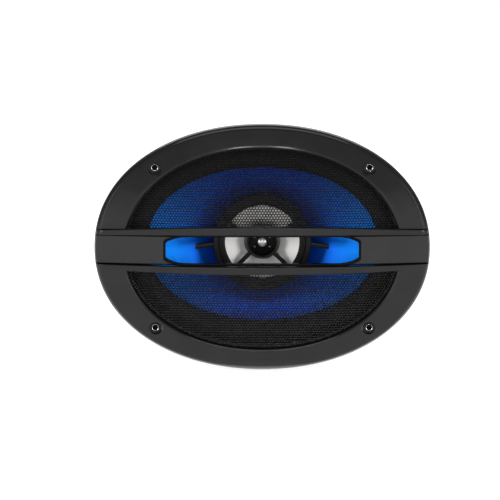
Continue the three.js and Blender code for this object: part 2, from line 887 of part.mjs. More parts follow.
const hubFront = tweeterPlateFront - 1.5;
const hubBack = hubFront + 2.2;
const hub = tube(hubRadius - hubWall, hubRadius, -hubBack, -hubFront, roundSegments);
const seat = -housingFront + clearance;
const struts = [
  upperStrutAngle,
  180 - upperStrutAngle,
  180 + lowerStrutAngle,
  -lowerStrutAngle,
].map((angle) => {
  const inner = hubRadius - hubWall / 2;
  const outer = housingRadius - 0.7;
  const shape = new THREE.Shape([
    new THREE.Vector2(inner, -hubBack),
    new THREE.Vector2(midConeRadius - 4.4, seat - 1.5),
    new THREE.Vector2(wallInner - 0.6, seat),
    new THREE.Vector2(outer, seat),
    new THREE.Vector2(outer, seat + strutThick - 0.4),
    new THREE.Vector2(outer - 0.4, seat + strutThick),
    new THREE.Vector2(wallInner - 1, seat + strutThick),
    new THREE.Vector2(midConeRadius - 4.4, seat + strutThick - 1.3),
    new THREE.Vector2(inner, -hubFront),
  ]);
  const geometry = new THREE.ExtrudeGeometry(shape, { depth: strutWidth, bevelEnabled: false });
  geometry.rotateX(Math.PI / 2);
  geometry.translate(0, strutWidth / 2, 0);
  geometry.rotateZ(THREE.MathUtils.degToRad(angle));
  return geometry;
});
place("tweeter_bridge", join(hub, ...struts), "blackPlastic");

const cupRim = hubBack + clearance;
place(
  "tweeter_cup",
  turned(
    [
      [0, -cupRim - tweeterCupDepth],
      [tweeterCupRadius - 2.3, -cupRim - tweeterCupDepth],
      [tweeterCupRadius - 0.5, -cupRim - tweeterCupDepth + 1.5],
      [tweeterCupRadius, -cupRim - 2.1],
      [tweeterCupRadius, -cupRim - 0.5],
      [tweeterCupRadius - 0.6, -cupRim],
      [hubRadius - 0.2, -cupRim],
      [hubRadius - 0.8, -cupRim - 0.5],
      [hubRadius - 0.8, -cupRim - tweeterCupDepth + 1.8],
      [0, -cupRim - tweeterCupDepth + 1.8],
    ],
    32,
  ),
  "blackPlastic",
);
place(
  "tweeter_magnet",
  upright(hubRadius - 2.5, -cupRim - tweeterCupDepth + 2.1, -tweeterPlateFront - tweeterPlateThickness - 0.6, 0, 0, 24),
  "ferrite",
);
place(
  "tweeter_plate",
  upright(
    hubRadius - hubWall - clearance,
    -tweeterPlateFront - tweeterPlateThickness,
    -tweeterPlateFront,
    0,
    0,
    32,
  ),
  "blackPlastic",
);
const domeLine = [[0, -tweeterPlateFront + 0.5]];
const domeSteps = 4;
for (let i = 0; i <= domeSteps; i += 1) {
  const angle = (Math.PI / 2) * (i / domeSteps);
  domeLine.push([
    i === domeSteps ? 0 : domeRadius * Math.cos(angle),
    -tweeterPlateFront + 0.8 + (domeHeight - 0.3) * Math.sin(angle),
  ]);
}
domeLine.splice(1, 0, [domeRadius, -tweeterPlateFront + 0.5]);
place("tweeter_dome", turned(domeLine, 24), "silverCone");
for (let i = 0; i < 4; i += 1) {
  const angle = THREE.MathUtils.degToRad(33 + (i % 2) * 114 + Math.floor(i / 2) * 180);
  const head = turned(
    [
      [0, -tweeterPlateFront + clearance],
      [tweeterRivetRadius, -tweeterPlateFront + clearance],
      [tweeterRivetRadius * 0.7, -tweeterPlateFront + clearance + 0.45],
      [0, -tweeterPlateFront + clearance + 0.6],
    ],
    12,
  );
  head.translate(tweeterRivetCircle * Math.cos(angle), tweeterRivetCircle * Math.sin(angle), 0);
  place(`tweeter_rivet_${i + 1}`, head, "zincSteel");
}

// ---- Terminal board on the lower arm of the basket

const armTop = [basketHeight(ledgeInner - 0.8), ledgeZ - 2.9];
const armFoot = [basketHeight(spiderLedgeOuter + 9.4), spiderLedgeZ + 4.4];
const armTilt = Math.atan2(armTop[0] - armFoot[0], armTop[1] - armFoot[1]);
const armMiddle = [(armTop[0] + armFoot[0]) / 2, (armTop[1] + armFoot[1]) / 2];

// Lays a piece on the arm: it is drawn with x across, y away from the basket and z up the arm.
function onArm(geometry) {
  geometry.rotateX(Math.PI);
  geometry.rotateX(armTilt);
  geometry.translate(0, -armMiddle[0], armMiddle[1]);
  return geometry;
}

const boardFoot = 2 * clearance;
const boardRivetSpacing = tabSpacing + positiveTabWidth + 2 * (rivetHeadRadius + rivetMargin);
const boardWidth = boardRivetSpacing + 2 * (rivetHeadRadius + 2 * rivetMargin);
const board = new THREE.BoxGeometry(boardWidth, boardThickness, boardHeight);
board.translate(0, boardFoot + boardThickness / 2, 0);
place("terminal_board", onArm(board), "card");
for (const [name, side, width] of [
  ["terminal_positive", -1, positiveTabWidth],
  ["terminal_negative", 1, negativeTabWidth],
]) {
  const foot = boardFoot + boardThickness + clearance;
  const base = new THREE.BoxGeometry(width, tabThickness, tabBase);
  base.translate(0, foot + tabThickness / 2, 0);
  const blade = new THREE.BoxGeometry(width, tabLength, tabThickness);
  blade.translate(0, foot + tabLength / 2, (tabBase - tabThickness) / 2);
  const tab = join(base, blade).translate(side * (tabSpacing / 2), 0, 0);
  place(name, onArm(tab), "brass");
}
for (const [name, side] of [
  ["board_rivet_left", -1],
  ["board_rivet_right", 1],
]) {
  const foot = boardFoot + boardThickness + clearance;
  const head = turned(
    [
      [0, foot],
      [rivetHeadRadius, foot],
      [rivetHeadRadius * 0.75, foot + 0.7],
      [0, foot + 0.9],
    ],
    smallSegments,
  );
  head.rotateX(-Math.PI / 2);
  head.translate((side * boardRivetSpacing) / 2, 0, 0);
  place(name, onArm(head), "zincSteel");
}

group.rotation.x = Math.PI / 2;
group.updateMatrixWorld(true);

export default group;
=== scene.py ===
import math

import bmesh
import bpy
import numpy as np
from mathutils import Matrix, Vector


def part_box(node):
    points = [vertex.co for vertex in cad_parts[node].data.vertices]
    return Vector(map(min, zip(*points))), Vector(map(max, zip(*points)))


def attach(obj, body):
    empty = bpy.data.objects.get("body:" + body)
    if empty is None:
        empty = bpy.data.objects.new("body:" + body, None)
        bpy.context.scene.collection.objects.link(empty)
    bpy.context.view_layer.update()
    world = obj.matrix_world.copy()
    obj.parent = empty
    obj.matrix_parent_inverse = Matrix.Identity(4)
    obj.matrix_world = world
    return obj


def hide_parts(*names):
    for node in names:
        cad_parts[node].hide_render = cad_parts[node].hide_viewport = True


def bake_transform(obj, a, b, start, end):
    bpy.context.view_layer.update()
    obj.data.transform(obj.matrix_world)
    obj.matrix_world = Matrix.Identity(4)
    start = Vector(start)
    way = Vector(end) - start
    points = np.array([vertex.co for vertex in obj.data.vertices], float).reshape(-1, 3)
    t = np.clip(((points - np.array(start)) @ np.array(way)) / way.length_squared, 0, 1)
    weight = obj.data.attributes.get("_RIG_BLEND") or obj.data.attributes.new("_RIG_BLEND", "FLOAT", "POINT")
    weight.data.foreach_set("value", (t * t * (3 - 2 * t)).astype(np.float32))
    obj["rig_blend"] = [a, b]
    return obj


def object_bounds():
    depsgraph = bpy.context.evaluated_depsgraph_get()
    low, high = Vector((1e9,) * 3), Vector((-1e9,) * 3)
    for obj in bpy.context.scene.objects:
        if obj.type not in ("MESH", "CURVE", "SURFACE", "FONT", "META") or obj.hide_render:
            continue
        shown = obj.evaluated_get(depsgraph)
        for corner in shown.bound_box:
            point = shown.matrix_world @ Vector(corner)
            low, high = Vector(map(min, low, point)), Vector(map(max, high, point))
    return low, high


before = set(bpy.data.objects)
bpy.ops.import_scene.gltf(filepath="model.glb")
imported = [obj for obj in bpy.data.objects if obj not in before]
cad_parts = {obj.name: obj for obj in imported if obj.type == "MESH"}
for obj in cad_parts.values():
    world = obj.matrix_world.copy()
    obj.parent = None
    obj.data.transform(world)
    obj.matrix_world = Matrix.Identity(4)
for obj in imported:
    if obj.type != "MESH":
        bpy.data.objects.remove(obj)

cadBox = [list(corner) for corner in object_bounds()]
scene = bpy.context.scene
print("frame loaded:", len(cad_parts), "nodes")

mm = 0.001
turn = 2 * math.pi


def at(x, y, z):  # x right, y up, z out of the front, in millimetres
    return Vector((x, -z, y)) * mm


def between(value, low, high):
    return low[1] + (value - low[0]) * (high[1] - low[1]) / (high[0] - low[0])


def easeTo(value):
    value = max(0.0, min(1.0, value))
    return value * value * (3 - 2 * value)


def stepping(pairs):  # a line through known pairs
    def read(value):
        for low, high in zip(pairs, pairs[1:]):
            if value <= high[0]:
                return between(value, low, high)
        return between(value, pairs[-2], pairs[-1])

    return read


# The speaker's main ovals and levels, as the CAD has them
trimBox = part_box("grille_frame")
oval = {
    "outline": [trimBox[1].x / mm, trimBox[1].z / mm],
    "opening": [97.5, 73.3],
    "cone": [81.5, 55.4],
    "neck": 19.5,
    "fullness": 2.1,
}
trimHeight = stepping([oval["cone"], oval["opening"], oval["outline"]])
coneHeight = stepping([[oval["neck"], oval["neck"]], oval["cone"]])
basketHeight = stepping([[0, 0], [48, 48], [81.5, 57.4], oval["opening"], oval["outline"]])
meshHeight = stepping([[0, 0], oval["opening"]])


def fullnessOf(across, up):  # 1 on the oval's edge
    return across ** oval["fullness"] + up ** oval["fullness"]


def filleted(corners, steps=4):  # a corner may carry a third number, its rounding
    count = len(corners)
    line = []
    for i, corner in enumerate(corners):
        here = Vector(corner[:2])
        if len(corner) < 3 or corner[2] == 0:
            line.append(here)
            continue
        before = Vector(corners[i - 1][:2]) - here
        after = Vector(corners[(i + 1) % count][:2]) - here
        half = before.angle(after) / 2
        reach = min(corner[2] / math.tan(half), before.length * 0.49, after.length * 0.49)
        start, end = here + before.normalized() * reach, here + after.normalized() * reach
        for k in range(steps + 1):
            t = k / steps
            line.append(start * (1 - t) ** 2 + here * 2 * t * (1 - t) + end * t * t)
    return [(p.x, p.y) for p in line]


def clean(bm, dist=2e-6):
    bmesh.ops.remove_doubles(bm, verts=bm.verts, dist=dist)
    bmesh.ops.dissolve_degenerate(bm, edges=bm.edges, dist=1e-7)
    bmesh.ops.recalc_face_normals(bm, faces=bm.faces)
    return bm


def spun(corners, steps=160, fillet=4):
    line = filleted(corners, fillet)
    bm = bmesh.new()
    dots = [bm.verts.new(at(r, 0, z)) for r, z in line]
    edges = [bm.edges.new(pair) for pair in zip(dots, dots[1:])]
    if line[0][0] > 1e-6 or line[-1][0] > 1e-6:
        edges.append(bm.edges.new((dots[-1], dots[0])))
    bmesh.ops.spin(bm, geom=dots + edges, cent=(0, 0, 0), axis=(0, 1, 0), angle=turn, steps=steps,
                   use_merge=True)
    return clean(bm)


def ovalised(bm, heightOf, roundUpTo=0.0):
    for v in bm.verts:
        x, up = v.co.x / mm, v.co.z / mm
        reach = math.hypot(x, up)
        if reach < 1e-5:
            continue
        share = min(1.0, max(0.0, (reach - roundUpTo) / (oval["cone"][0] - roundUpTo)))
        power = 2 / (2 + (oval["fullness"] - 2) * share)
        v.co.x = mm * reach * math.copysign(abs(x / reach) ** power, x)
        v.co.z = mm * heightOf(reach) * math.copysign(abs(up / reach) ** power, up)
    return bm


def moved(bm, by, only=None):
    verts = bm.verts if only is None else [part for part in only if isinstance(part, bmesh.types.BMVert)]
    bmesh.ops.translate(bm, verts=verts, vec=by)
    return bm


def placed(bm, radius, degrees):  # a small turned piece, set on a circle round the sound axis
    angle = math.radians(degrees)
    return moved(bm, at(radius * math.cos(angle), radius * math.sin(angle), 0))


def pulledUp(bm, by):
    return moved(bm, by, bmesh.ops.extrude_face_region(bm, geom=bm.faces[:])["geom"])


def repeated(bm, by):
    return moved(bm, by, bmesh.ops.duplicate(bm, geom=bm.verts[:] + bm.edges[:] + bm.faces[:])["geom"])


def sheetLine(line, thickness):
    return list(line) + [(r, z - thickness) for r, z in reversed(line)]


def joined(*parts):
    whole = bmesh.new()
    for part in parts:
        mesh = bpy.data.meshes.new("part")
        part.to_mesh(mesh)
        part.free()
        whole.from_mesh(mesh)
        bpy.data.meshes.remove(mesh)
    return whole


def looseObject(bm, name):
    mesh = bpy.data.meshes.new(name)
    bm.to_mesh(mesh)
    bm.free()
    thing = bpy.data.objects.new(name, mesh)
    scene.collection.objects.link(thing)
    return thing


def carved(thing, cutter, operation="DIFFERENCE"):
    change = thing.modifiers.new("cut", "BOOLEAN")
    change.operation = operation
    change.solver = "EXACT"
    change.object = cutter
    graph = bpy.context.evaluated_depsgraph_get()
    mesh = bpy.data.meshes.new_from_object(thing.evaluated_get(graph))
    thing.modifiers.remove(change)
    old = thing.data
    thing.data = mesh
    bpy.data.meshes.remove(old)
    bpy.data.objects.remove(cutter)


def dressed(thing, material, nodes=(), body="frame", slot=None, sharp=38, blendTo=None):
    mesh = thing.data
    mesh.materials.clear()
    mesh.materials.append(material)
    mesh.shade_smooth()
    mesh.set_sharp_from_angle(angle=math.radians(sharp))
    if nodes:
        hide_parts(*nodes)
    if blendTo:  # held at its rim, and moved by the coil at its middle
        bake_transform(thing, body, blendTo["body"], start=(0, 0, 0), end=(0, 0.01, 0))
        low, high = blendTo["fixed"], blendTo["moving"]
        heightOf = blendTo["heightOf"]
        weights = []
        for v in mesh.vertices:
            weights.append(1 - easeTo((reachOf(v.co.x / mm, v.co.z / mm, heightOf) - high) / (low - high)))
        mesh.attributes["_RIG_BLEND"].data.foreach_set("value", np.array(weights, np.float32))
    else:
        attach(thing, body)
    return thing


def made(bm, name, *finish, **rest):
    return dressed(looseObject(bm, name), *finish, **rest)


def reachOf(x, up, heightOf):  # half-length of the oval that passes through a point
    low, high = 0.0, 140.0
    for _ in range(24):
        reach = (low + high) / 2
        height = max(heightOf(reach), 1e-4)
        if fullnessOf(abs(x) / max(reach, 1e-4), abs(up) / height) > 1:
            low = reach
        else:
            high = reach
    return (low + high) / 2


def newMaterial(name):
    material = bpy.data.materials.new(name)
    material.use_nodes = True
    tree = material.node_tree
    return material, tree, tree.nodes["Principled BSDF"]


def setInputs(node, values):
    for socket, value in values.items():
        node.inputs[socket].default_value = value


def newNode(tree, kind, values=None, fed=None):  # fed gives each linked input the output it reads
    node = tree.nodes.new("ShaderNode" + kind)
    setInputs(node, values or {})
    for socket, output in (fed or {}).items():
        tree.links.new(output, node.inputs[socket])
    return node


def ownCoords(tree):
    return newNode(tree, "TexCoord").outputs["Object"]


def mottled(tree, scale, low, high, detail=4.0):  # cloudy change between two colours, and its height
    noise = newNode(tree, "TexNoise", {"Scale": scale, "Detail": detail}, {"Vector": ownCoords(tree)})
    ramp = newNode(tree, "ValToRGB", fed={"Fac": noise.outputs["Fac"]})
    for stop, position, colour in zip(ramp.color_ramp.elements, (0.3, 0.7), (low, high)):
        stop.position = position
        stop.color = (*colour, 1)
    return ramp.outputs["Color"], noise.outputs["Fac"]


def bumped(tree, shader, height, strength, depth):
    bump = newNode(tree, "Bump", {"Strength": strength, "Distance": depth}, {"Height": height})
    tree.links.new(bump.outputs["Normal"], shader.inputs["Normal"])


def grained(tree, shader, scale, strength, depth):
    bumped(tree, shader, mottled(tree, scale, (0, 0, 0), (1, 1, 1), 3.0)[1], strength, depth)


def roughened(tree, shader, scale, low, high):
    tree.links.new(mottled(tree, scale, (low,) * 3, (high,) * 3, 3.0)[0], shader.inputs["Roughness"])


def coloured(tree, shader, scale, dark, light):
    tree.links.new(mottled(tree, scale, dark, light)[0], shader.inputs["Base Color"])


def mouldedPlastic(name, settings):
    material, tree, shader = newMaterial(name)
    coloured(tree, shader, settings["cloud"], settings["dark"], settings["light"])
    roughened(tree, shader, settings["wear"], *settings["roughness"])
    setInputs(shader, {
        "Specular IOR Level": settings.get("specular", 0.5),
        "Coat Weight": settings.get("coat", 0.0),
        "Coat Roughness": settings.get("coatRoughness", 0.2),
    })
    grained(tree, shader, settings["grains"], settings["grain"], settings["depth"])
    return material


def turnedMetal(name, settings):  # fine rings left by the lathe, round the sound axis
    material, tree, shader = newMaterial(name)
    coloured(tree, shader, settings["cloud"], settings["dark"], settings["light"])
    setInputs(shader, {"Metallic": 1.0})
    roughened(tree, shader, settings["wear"], *settings["roughness"])
    rings = newNode(tree, "TexWave", {"Scale": settings["rings"], "Distortion": 0.6, "Detail": 2.0},
                    {"Vector": ownCoords(tree)})
    rings.wave_type = "RINGS"
    rings.rings_direction = "Y"
    bumped(tree, shader, rings.outputs["Fac"], settings["ringDepth"], 0.00008)
    return material


def blueConeWithPaintedLight():
    # The cone's blue is painted lighter along its long ends, where the lamps light its flanks, and painted
    # darker round the hub, where it lies in shade: a painted highlight and painted shade over the cone's own
    # blue.
    settings = {
        "hub": (0.0006, 0.05, 0.60, 1),
        "middle": (0.003, 0.13, 1.0, 1),
        "ends": (0.001, 0.27, 1.0, 1),
        "endsFade": {"From Min": 0.020, "From Max": 0.074},  # metres along the long axis
        "hubPaintedShadeFade": {"From Min": 0.030, "From Max": 0.058},  # metres from the sound axis, on a flatter oval
        "flatten": (1, 0, 1.35),
        "gloss": {"Metallic": 0.55, "Specular IOR Level": 0.15},
    }
    material, tree, shader = newMaterial("blueConeLacquerAndPaintedLight")
    coords = ownCoords(tree)
    split = newNode(tree, "SeparateXYZ", fed={"Vector": coords})
    across = newNode(tree, "Math", fed={0: split.outputs["X"]})
    across.operation = "ABSOLUTE"
    fade = newNode(tree, "MapRange", settings["endsFade"], {"Value": across.outputs["Value"]})
    ramp = newNode(tree, "ValToRGB", fed={"Fac": fade.outputs["Result"]})
    ramp.color_ramp.elements[0].color = settings["middle"]
    ramp.color_ramp.elements[1].color = settings["ends"]
    flat = newNode(tree, "Mapping", {"Scale": settings["flatten"]}, {"Vector": coords})
    length = newNode(tree, "VectorMath", fed={0: flat.outputs["Vector"]})
    length.operation = "LENGTH"
    hubPaintedShadeFade = newNode(tree, "MapRange", settings["hubPaintedShadeFade"], {"Value": length.outputs["Value"]})
    # lays the painted shade round the hub over the blue with its painted light at the ends
    mix = tree.nodes.new("ShaderNodeMix")
    mix.data_type = "RGBA"
    mix.inputs["A"].default_value = settings["hub"]
    tree.links.new(hubPaintedShadeFade.outputs["Result"], mix.inputs["Factor"])
    tree.links.new(ramp.outputs["Color"], mix.inputs["B"])
    tree.links.new(mix.outputs["Result"], shader.inputs["Base Color"])
    setInputs(shader, settings["gloss"])
    roughened(tree, shader, 220.0, 0.36, 0.42)
    grained(tree, shader, 900.0, 0.02, 0.00003)
    return material


def silverFinish(name, dark, light, roughness, metallic):
    material, tree, shader = newMaterial(name)
    coloured(tree, shader, 120.0, dark, light)
    setInputs(shader, {"Metallic": metallic, "Coat Weight": 0.25})
    roughened(tree, shader, 300.0, *roughness)
    grained(tree, shader, 1200.0, 0.02, 0.00002)
    return material


def wovenCloth(name, dark, light, threads, stiffness):
    material, tree, shader = newMaterial(name)
    setInputs(shader, {"Sheen Weight": 0.15, "Roughness": stiffness})
    coords = ownCoords(tree)
    weave = tree.nodes.new("ShaderNodeMath")
    weave.operation = "MULTIPLY"
    for i, direction in enumerate(("X", "Z")):
        wave = newNode(tree, "TexWave", {"Scale": threads, "Distortion": 0.4}, {"Vector": coords})
        wave.bands_direction = direction
        tree.links.new(wave.outputs["Fac"], weave.inputs[i])
    tint = tree.nodes.new("ShaderNodeMix")
    tint.data_type = "RGBA"
    tint.inputs["B"].default_value = (*light, 1)
    tree.links.new(weave.outputs["Value"], tint.inputs["Factor"])
    tree.links.new(mottled(tree, 260.0, dark, light)[0], tint.inputs["A"])
    tree.links.new(tint.outputs["Result"], shader.inputs["Base Color"])
    bumped(tree, shader, weave.outputs["Value"], 0.6, 0.0002)
    return material


# The trim ring, rails and panels are one satin black plastic, yet each copy below has its own base
# brightness: the differences are painted light and shade, set to how brightly each part is lit.
trimPlastic = mouldedPlastic("satinTrimPlastic", {
    "dark": (0.0035, 0.0036, 0.0039), "light": (0.0065, 0.0066, 0.0071), "cloud": 45.0, "wear": 160.0,
    "roughness": (0.32, 0.42), "grains": 2600.0, "grain": 0.12, "depth": 0.00006, "specular": 0.14,
    "coat": 0.4, "coatRoughness": 0.09})
railPlastic = mouldedPlastic("satinRailPlastic", {
    "dark": (0.006, 0.0061, 0.0066), "light": (0.010, 0.0102, 0.011), "cloud": 60.0, "wear": 200.0,
    "roughness": (0.26, 0.36), "grains": 2600.0, "grain": 0.10, "depth": 0.00005, "specular": 0.19,
    "coat": 0.2, "coatRoughness": 0.05})
panelPlastic = mouldedPlastic("satinPanelPlastic", {
    "dark": (0.0055, 0.0056, 0.0060), "light": (0.0085, 0.0086, 0.0092), "cloud": 50.0, "wear": 160.0,
    "roughness": (0.30, 0.40), "grains": 2600.0, "grain": 0.12, "depth": 0.00006, "specular": 0.25,
    "coat": 0.3, "coatRoughness": 0.06})
# The tweeter cup is black plastic. This lighter grey copy is painted light, standing in for the light that
# falls on the cup's lower lip.
cupPaintedLightGrey = mouldedPlastic("tweeterShellPaintedLightGrey", {
    "dark": (0.030, 0.031, 0.033), "light": (0.045, 0.046, 0.049), "cloud": 120.0, "wear": 220.0,
    "roughness": (0.26, 0.36), "grains": 2600.0, "grain": 0.10, "depth": 0.00005})
glossBlack = mouldedPlastic("glossBlackPlastic", {
    "dark": (0.0016, 0.0016, 0.0018), "light": (0.0035, 0.0035, 0.004), "cloud": 80.0, "wear": 260.0,
    "roughness": (0.22, 0.32), "grains": 1800.0, "grain": 0.05, "depth": 0.00004, "specular": 0.06})
moulded = mouldedPlastic("mouldedBlackPlastic", {
    "dark": (0.0012, 0.0012, 0.0013), "light": (0.003, 0.003, 0.0033), "cloud": 70.0, "wear": 220.0,
    "roughness": (0.38, 0.52), "grains": 2200.0, "grain": 0.15, "depth": 0.00006, "specular": 0.22})
meshPaint = mouldedPlastic("powderCoatedMesh", {
    "dark": (0.0008, 0.0008, 0.0008), "light": (0.002, 0.002, 0.0019), "cloud": 90.0, "wear": 400.0,
    "roughness": (0.42, 0.58), "grains": 3000.0, "grain": 0.15, "depth": 0.00005, "specular": 0.12})
# A brighter finish for the walls of the mesh holes: painted glints, standing in for light caught on the
# punched edges.
punchedEdgePaintedGlint = mouldedPlastic("punchedHoleEdgePaintedGlint", {
    "dark": (0.11, 0.108, 0.10), "light": (0.19, 0.186, 0.175), "cloud": 300.0, "wear": 500.0,
    "roughness": (0.28, 0.42), "grains": 3000.0, "grain": 0.15, "depth": 0.00004, "specular": 0.8})
basketPaint = mouldedPlastic("basketEnamel", {
    "dark": (0.010, 0.010, 0.011), "light": (0.020, 0.020, 0.021), "cloud": 35.0, "wear": 150.0,
    "roughness": (0.30, 0.44), "grains": 700.0, "grain": 0.18, "depth": 0.00010, "coat": 0.25})
rollRubber = mouldedPlastic("rollRubber", {
    "dark": (0.005, 0.005, 0.005), "light": (0.011, 0.011, 0.011), "cloud": 60.0, "wear": 180.0,
    "roughness": (0.55, 0.72), "grains": 1500.0, "grain": 0.2, "depth": 0.00008, "specular": 0.35})
sealFoam = mouldedPlastic("sealFoam", {
    "dark": (0.004, 0.004, 0.004), "light": (0.014, 0.014, 0.013), "cloud": 900.0, "wear": 500.0,
    "roughness": (0.85, 0.97), "grains": 1300.0, "grain": 0.8, "depth": 0.0003, "specular": 0.2})
pressedCard = mouldedPlastic("pressedCard", {
    "dark": (0.010, 0.009, 0.008), "light": (0.024, 0.022, 0.019), "cloud": 300.0, "wear": 300.0,
    "roughness": (0.75, 0.9), "grains": 1600.0, "grain": 0.4, "depth": 0.00012, "specular": 0.25})
boardFibre = mouldedPlastic("terminalBoardFibre", {
    "dark": (0.020, 0.012, 0.007), "light": (0.045, 0.027, 0.015), "cloud": 240.0, "wear": 260.0,
    "roughness": (0.45, 0.6), "grains": 1900.0, "grain": 0.25, "depth": 0.00008, "specular": 0.4})
ferrite = mouldedPlastic("groundFerrite", {
    "dark": (0.016, 0.0155, 0.017), "light": (0.036, 0.035, 0.037), "cloud": 180.0, "wear": 120.0,
    "roughness": (0.5, 0.72), "grains": 900.0, "grain": 0.35, "depth": 0.00012})
zincSteel = turnedMetal("zincPlatedSteel", {
    "dark": (0.50, 0.51, 0.53), "light": (0.68, 0.68, 0.70), "cloud": 60.0, "wear": 180.0,
    "roughness": (0.26, 0.4), "rings": 700.0, "ringDepth": 0.12})
brightSteel = turnedMetal("brightSteel", {
    "dark": (0.70, 0.70, 0.71), "light": (0.85, 0.85, 0.86), "cloud": 300.0, "wear": 500.0,
    "roughness": (0.16, 0.26), "rings": 900.0, "ringDepth": 0.05})
blackenedSteel = turnedMetal("blackenedSteel", {
    "dark": (0.09, 0.09, 0.09), "light": (0.15, 0.15, 0.15), "cloud": 300.0, "wear": 500.0,
    "roughness": (0.3, 0.42), "rings": 900.0, "ringDepth": 0.05})
tinnedBrass = turnedMetal("tinnedBrass", {
    "dark": (0.62, 0.50, 0.28), "light": (0.80, 0.68, 0.42), "cloud": 200.0, "wear": 300.0,
    "roughness": (0.2, 0.34), "rings": 300.0, "ringDepth": 0.04})
copperWire = turnedMetal("enamelledCopper", {
    "dark": (0.45, 0.16, 0.05), "light": (0.62, 0.26, 0.09), "cloud": 200.0, "wear": 300.0,
    "roughness": (0.2, 0.3), "rings": 1200.0, "ringDepth": 0.5})
coilFoil = turnedMetal("coilFoil", {
    "dark": (0.55, 0.55, 0.56), "light": (0.72, 0.72, 0.73), "cloud": 150.0, "wear": 260.0,
    "roughness": (0.3, 0.45), "rings": 500.0, "ringDepth": 0.05})
blueLacquerAndPaintedLight = blueConeWithPaintedLight()
silverCone = silverFinish("silverMetallised", (0.84, 0.82, 0.79), (0.94, 0.925, 0.90), (0.42, 0.5), 0.2)
silverDome = silverFinish("silverDome", (0.46, 0.45, 0.43), (0.56, 0.55, 0.53), (0.24, 0.3), 0.7)
spiderCloth = wovenCloth("spiderCloth", (0.30, 0.17, 0.045), (0.56, 0.36, 0.13), 620.0, 0.88)
print("finishes mixed")

cameraPlan = {
    "elevation": 13.5, "distance": 5000.0, "aim": (0, 0, 0), "span": 354.7, "sensor": 36.0,
    "shiftX": -0.0244, "shiftY": -0.0069,
}


def placeCamera():
    data = bpy.data.cameras.new("camera")
    camera = bpy.data.objects.new("camera", data)
    scene.collection.objects.link(camera)
    scene.camera = camera
    tilt = math.radians(cameraPlan["elevation"])
    away = Vector((0, -math.cos(tilt), math.sin(tilt)))
    camera.location = at(*cameraPlan["aim"]) + away * cameraPlan["distance"] * mm
    camera.rotation_euler = (-away).to_track_quat("-Z", "Y").to_euler()
    data.sensor_width = cameraPlan["sensor"]
    data.lens = cameraPlan["sensor"] * cameraPlan["distance"] / cameraPlan["span"]
    data.shift_x, data.shift_y = cameraPlan["shiftX"], cameraPlan["shiftY"]
    data.clip_start, data.clip_end = 0.05, 20


lamps = {  # place and size in millimetres, power in watts, aimed at the middle unless it says otherwise
    "topBox": {"place": (0, 1100, 500), "size": (1200, 500), "power": 5.0, "colour": (1, 0.99, 0.97)},
    "leftBox": {"place": (-1000, 60, 950), "size": (420, 700), "power": 6.2, "colour": (0.98, 0.99, 1)},
    "rightBox": {"place": (1000, 60, 950), "size": (420, 700), "power": 6.2, "colour": (0.98, 0.99, 1)},
    "frontLeftStrip": {"place": (-75, 190, 1700), "size": (70, 260), "power": 1.2},
    "frontRightStrip": {"place": (75, 190, 1700), "size": (70, 260), "power": 1.2},
    "lowCard": {"place": (0, -88.9, -6), "aim": (0, 0, -6), "size": (600, 32), "power": 0.2},
    "backBox": {"place": (0, 500, -900), "size": (1000, 500), "power": 3.6},
}
room = {"Color": (1, 1, 1, 1), "Strength": 0.3}


def placeLamps():
    for name, lamp in lamps.items():
        data = bpy.data.lights.new(name, "AREA")
        data.shape = "RECTANGLE"
        data.size, data.size_y = lamp["size"][0] * mm, lamp["size"][1] * mm
        data.energy = lamp["power"]
        data.color = lamp.get("colour", (1, 1, 1))
        thing = bpy.data.objects.new(name, data)
        thing.location = at(*lamp["place"])
        aim = at(*lamp.get("aim", (0, 0, 0)))
        thing.rotation_euler = (aim - thing.location).to_track_quat("-Z", "Y").to_euler()
        thing.visible_camera = False
        scene.collection.objects.link(thing)
    world = bpy.data.worlds.new("whiteRoom")
    world.use_nodes = True
    setInputs(world.node_tree.nodes["Background"], room)
    scene.world = world
    scene.view_settings.view_transform = "Standard"
    scene.view_settings.look = "None"


def layFloor():
    settings = {
        "half": 6.0, "drop": 0.0002, "dark": (0.93, 0.93, 0.925), "light": (0.95,) * 3,
        "finish": {"Roughness": 0.85, "Specular IOR Level": 0.1, "Emission Color": (1, 1, 1, 1),
                   "Emission Strength": 0.68},
    }
    bm = bmesh.new()
    bmesh.ops.create_grid(bm, x_segments=2, y_segments=2, size=settings["half"])
    moved(bm, (0, 0, cadBox[0][2] - settings["drop"]))
    floor = looseObject(bm, "floor")
    material, tree, shader = newMaterial("paleFloor")
    coloured(tree, shader, 3.0, settings["dark"], settings["light"])
    setInputs(shader, settings["finish"])
    floor.data.materials.append(material)


placeCamera()
placeLamps()
layFloor()
print("camera, lamps and floor set")

# The centre band: two rails, two panels and the window's frame
band = {
    "endHeight": 9.2, "bow": 6.8, "railInnerEnd": 10.7, "railInnerCentre": 11.7, "railOuterEnd": 13.9,
    "railOuterCentre": 17.1, "railDepth": 4.8, "panelHalf": 9.8, "panelRecess": 2.2, "frameRecess": 2.3,
    "frameDepth": 2.0, "windowLength": 68.4, "windowHalf": 9.6, "windowEndHalf": 5.9, "windowTaper": 15.0,
    "border": 1.4, "clearance": 0.3, "edge": 0.55,
}
crownZ = stepping([[0, 18.0], [59.5, 18.0], [114, 9.9], [116.2, 8.9], [117.9, 7.6], [118.8, 5.4]])


def bowAt(x):
    return 1 - (x / oval["outline"][0]) ** 2


def railTop(x):
    return band["endHeight"] + band["bow"] * bowAt(x)


def railInner(x):
    return band["railInnerEnd"] + (band["railInnerCentre"] - band["railInnerEnd"]) * bowAt(x)


def railOuter(x):
    return band["railOuterEnd"] + (band["railOuterCentre"] - band["railOuterEnd"]) * bowAt(x)


def outlineX(y, inset=0.2):
    a, b = oval["outline"][0] - inset, oval["outline"][1] - inset
    return a * (1 - (abs(y) / b) ** oval["fullness"]) ** (1 / oval["fullness"])


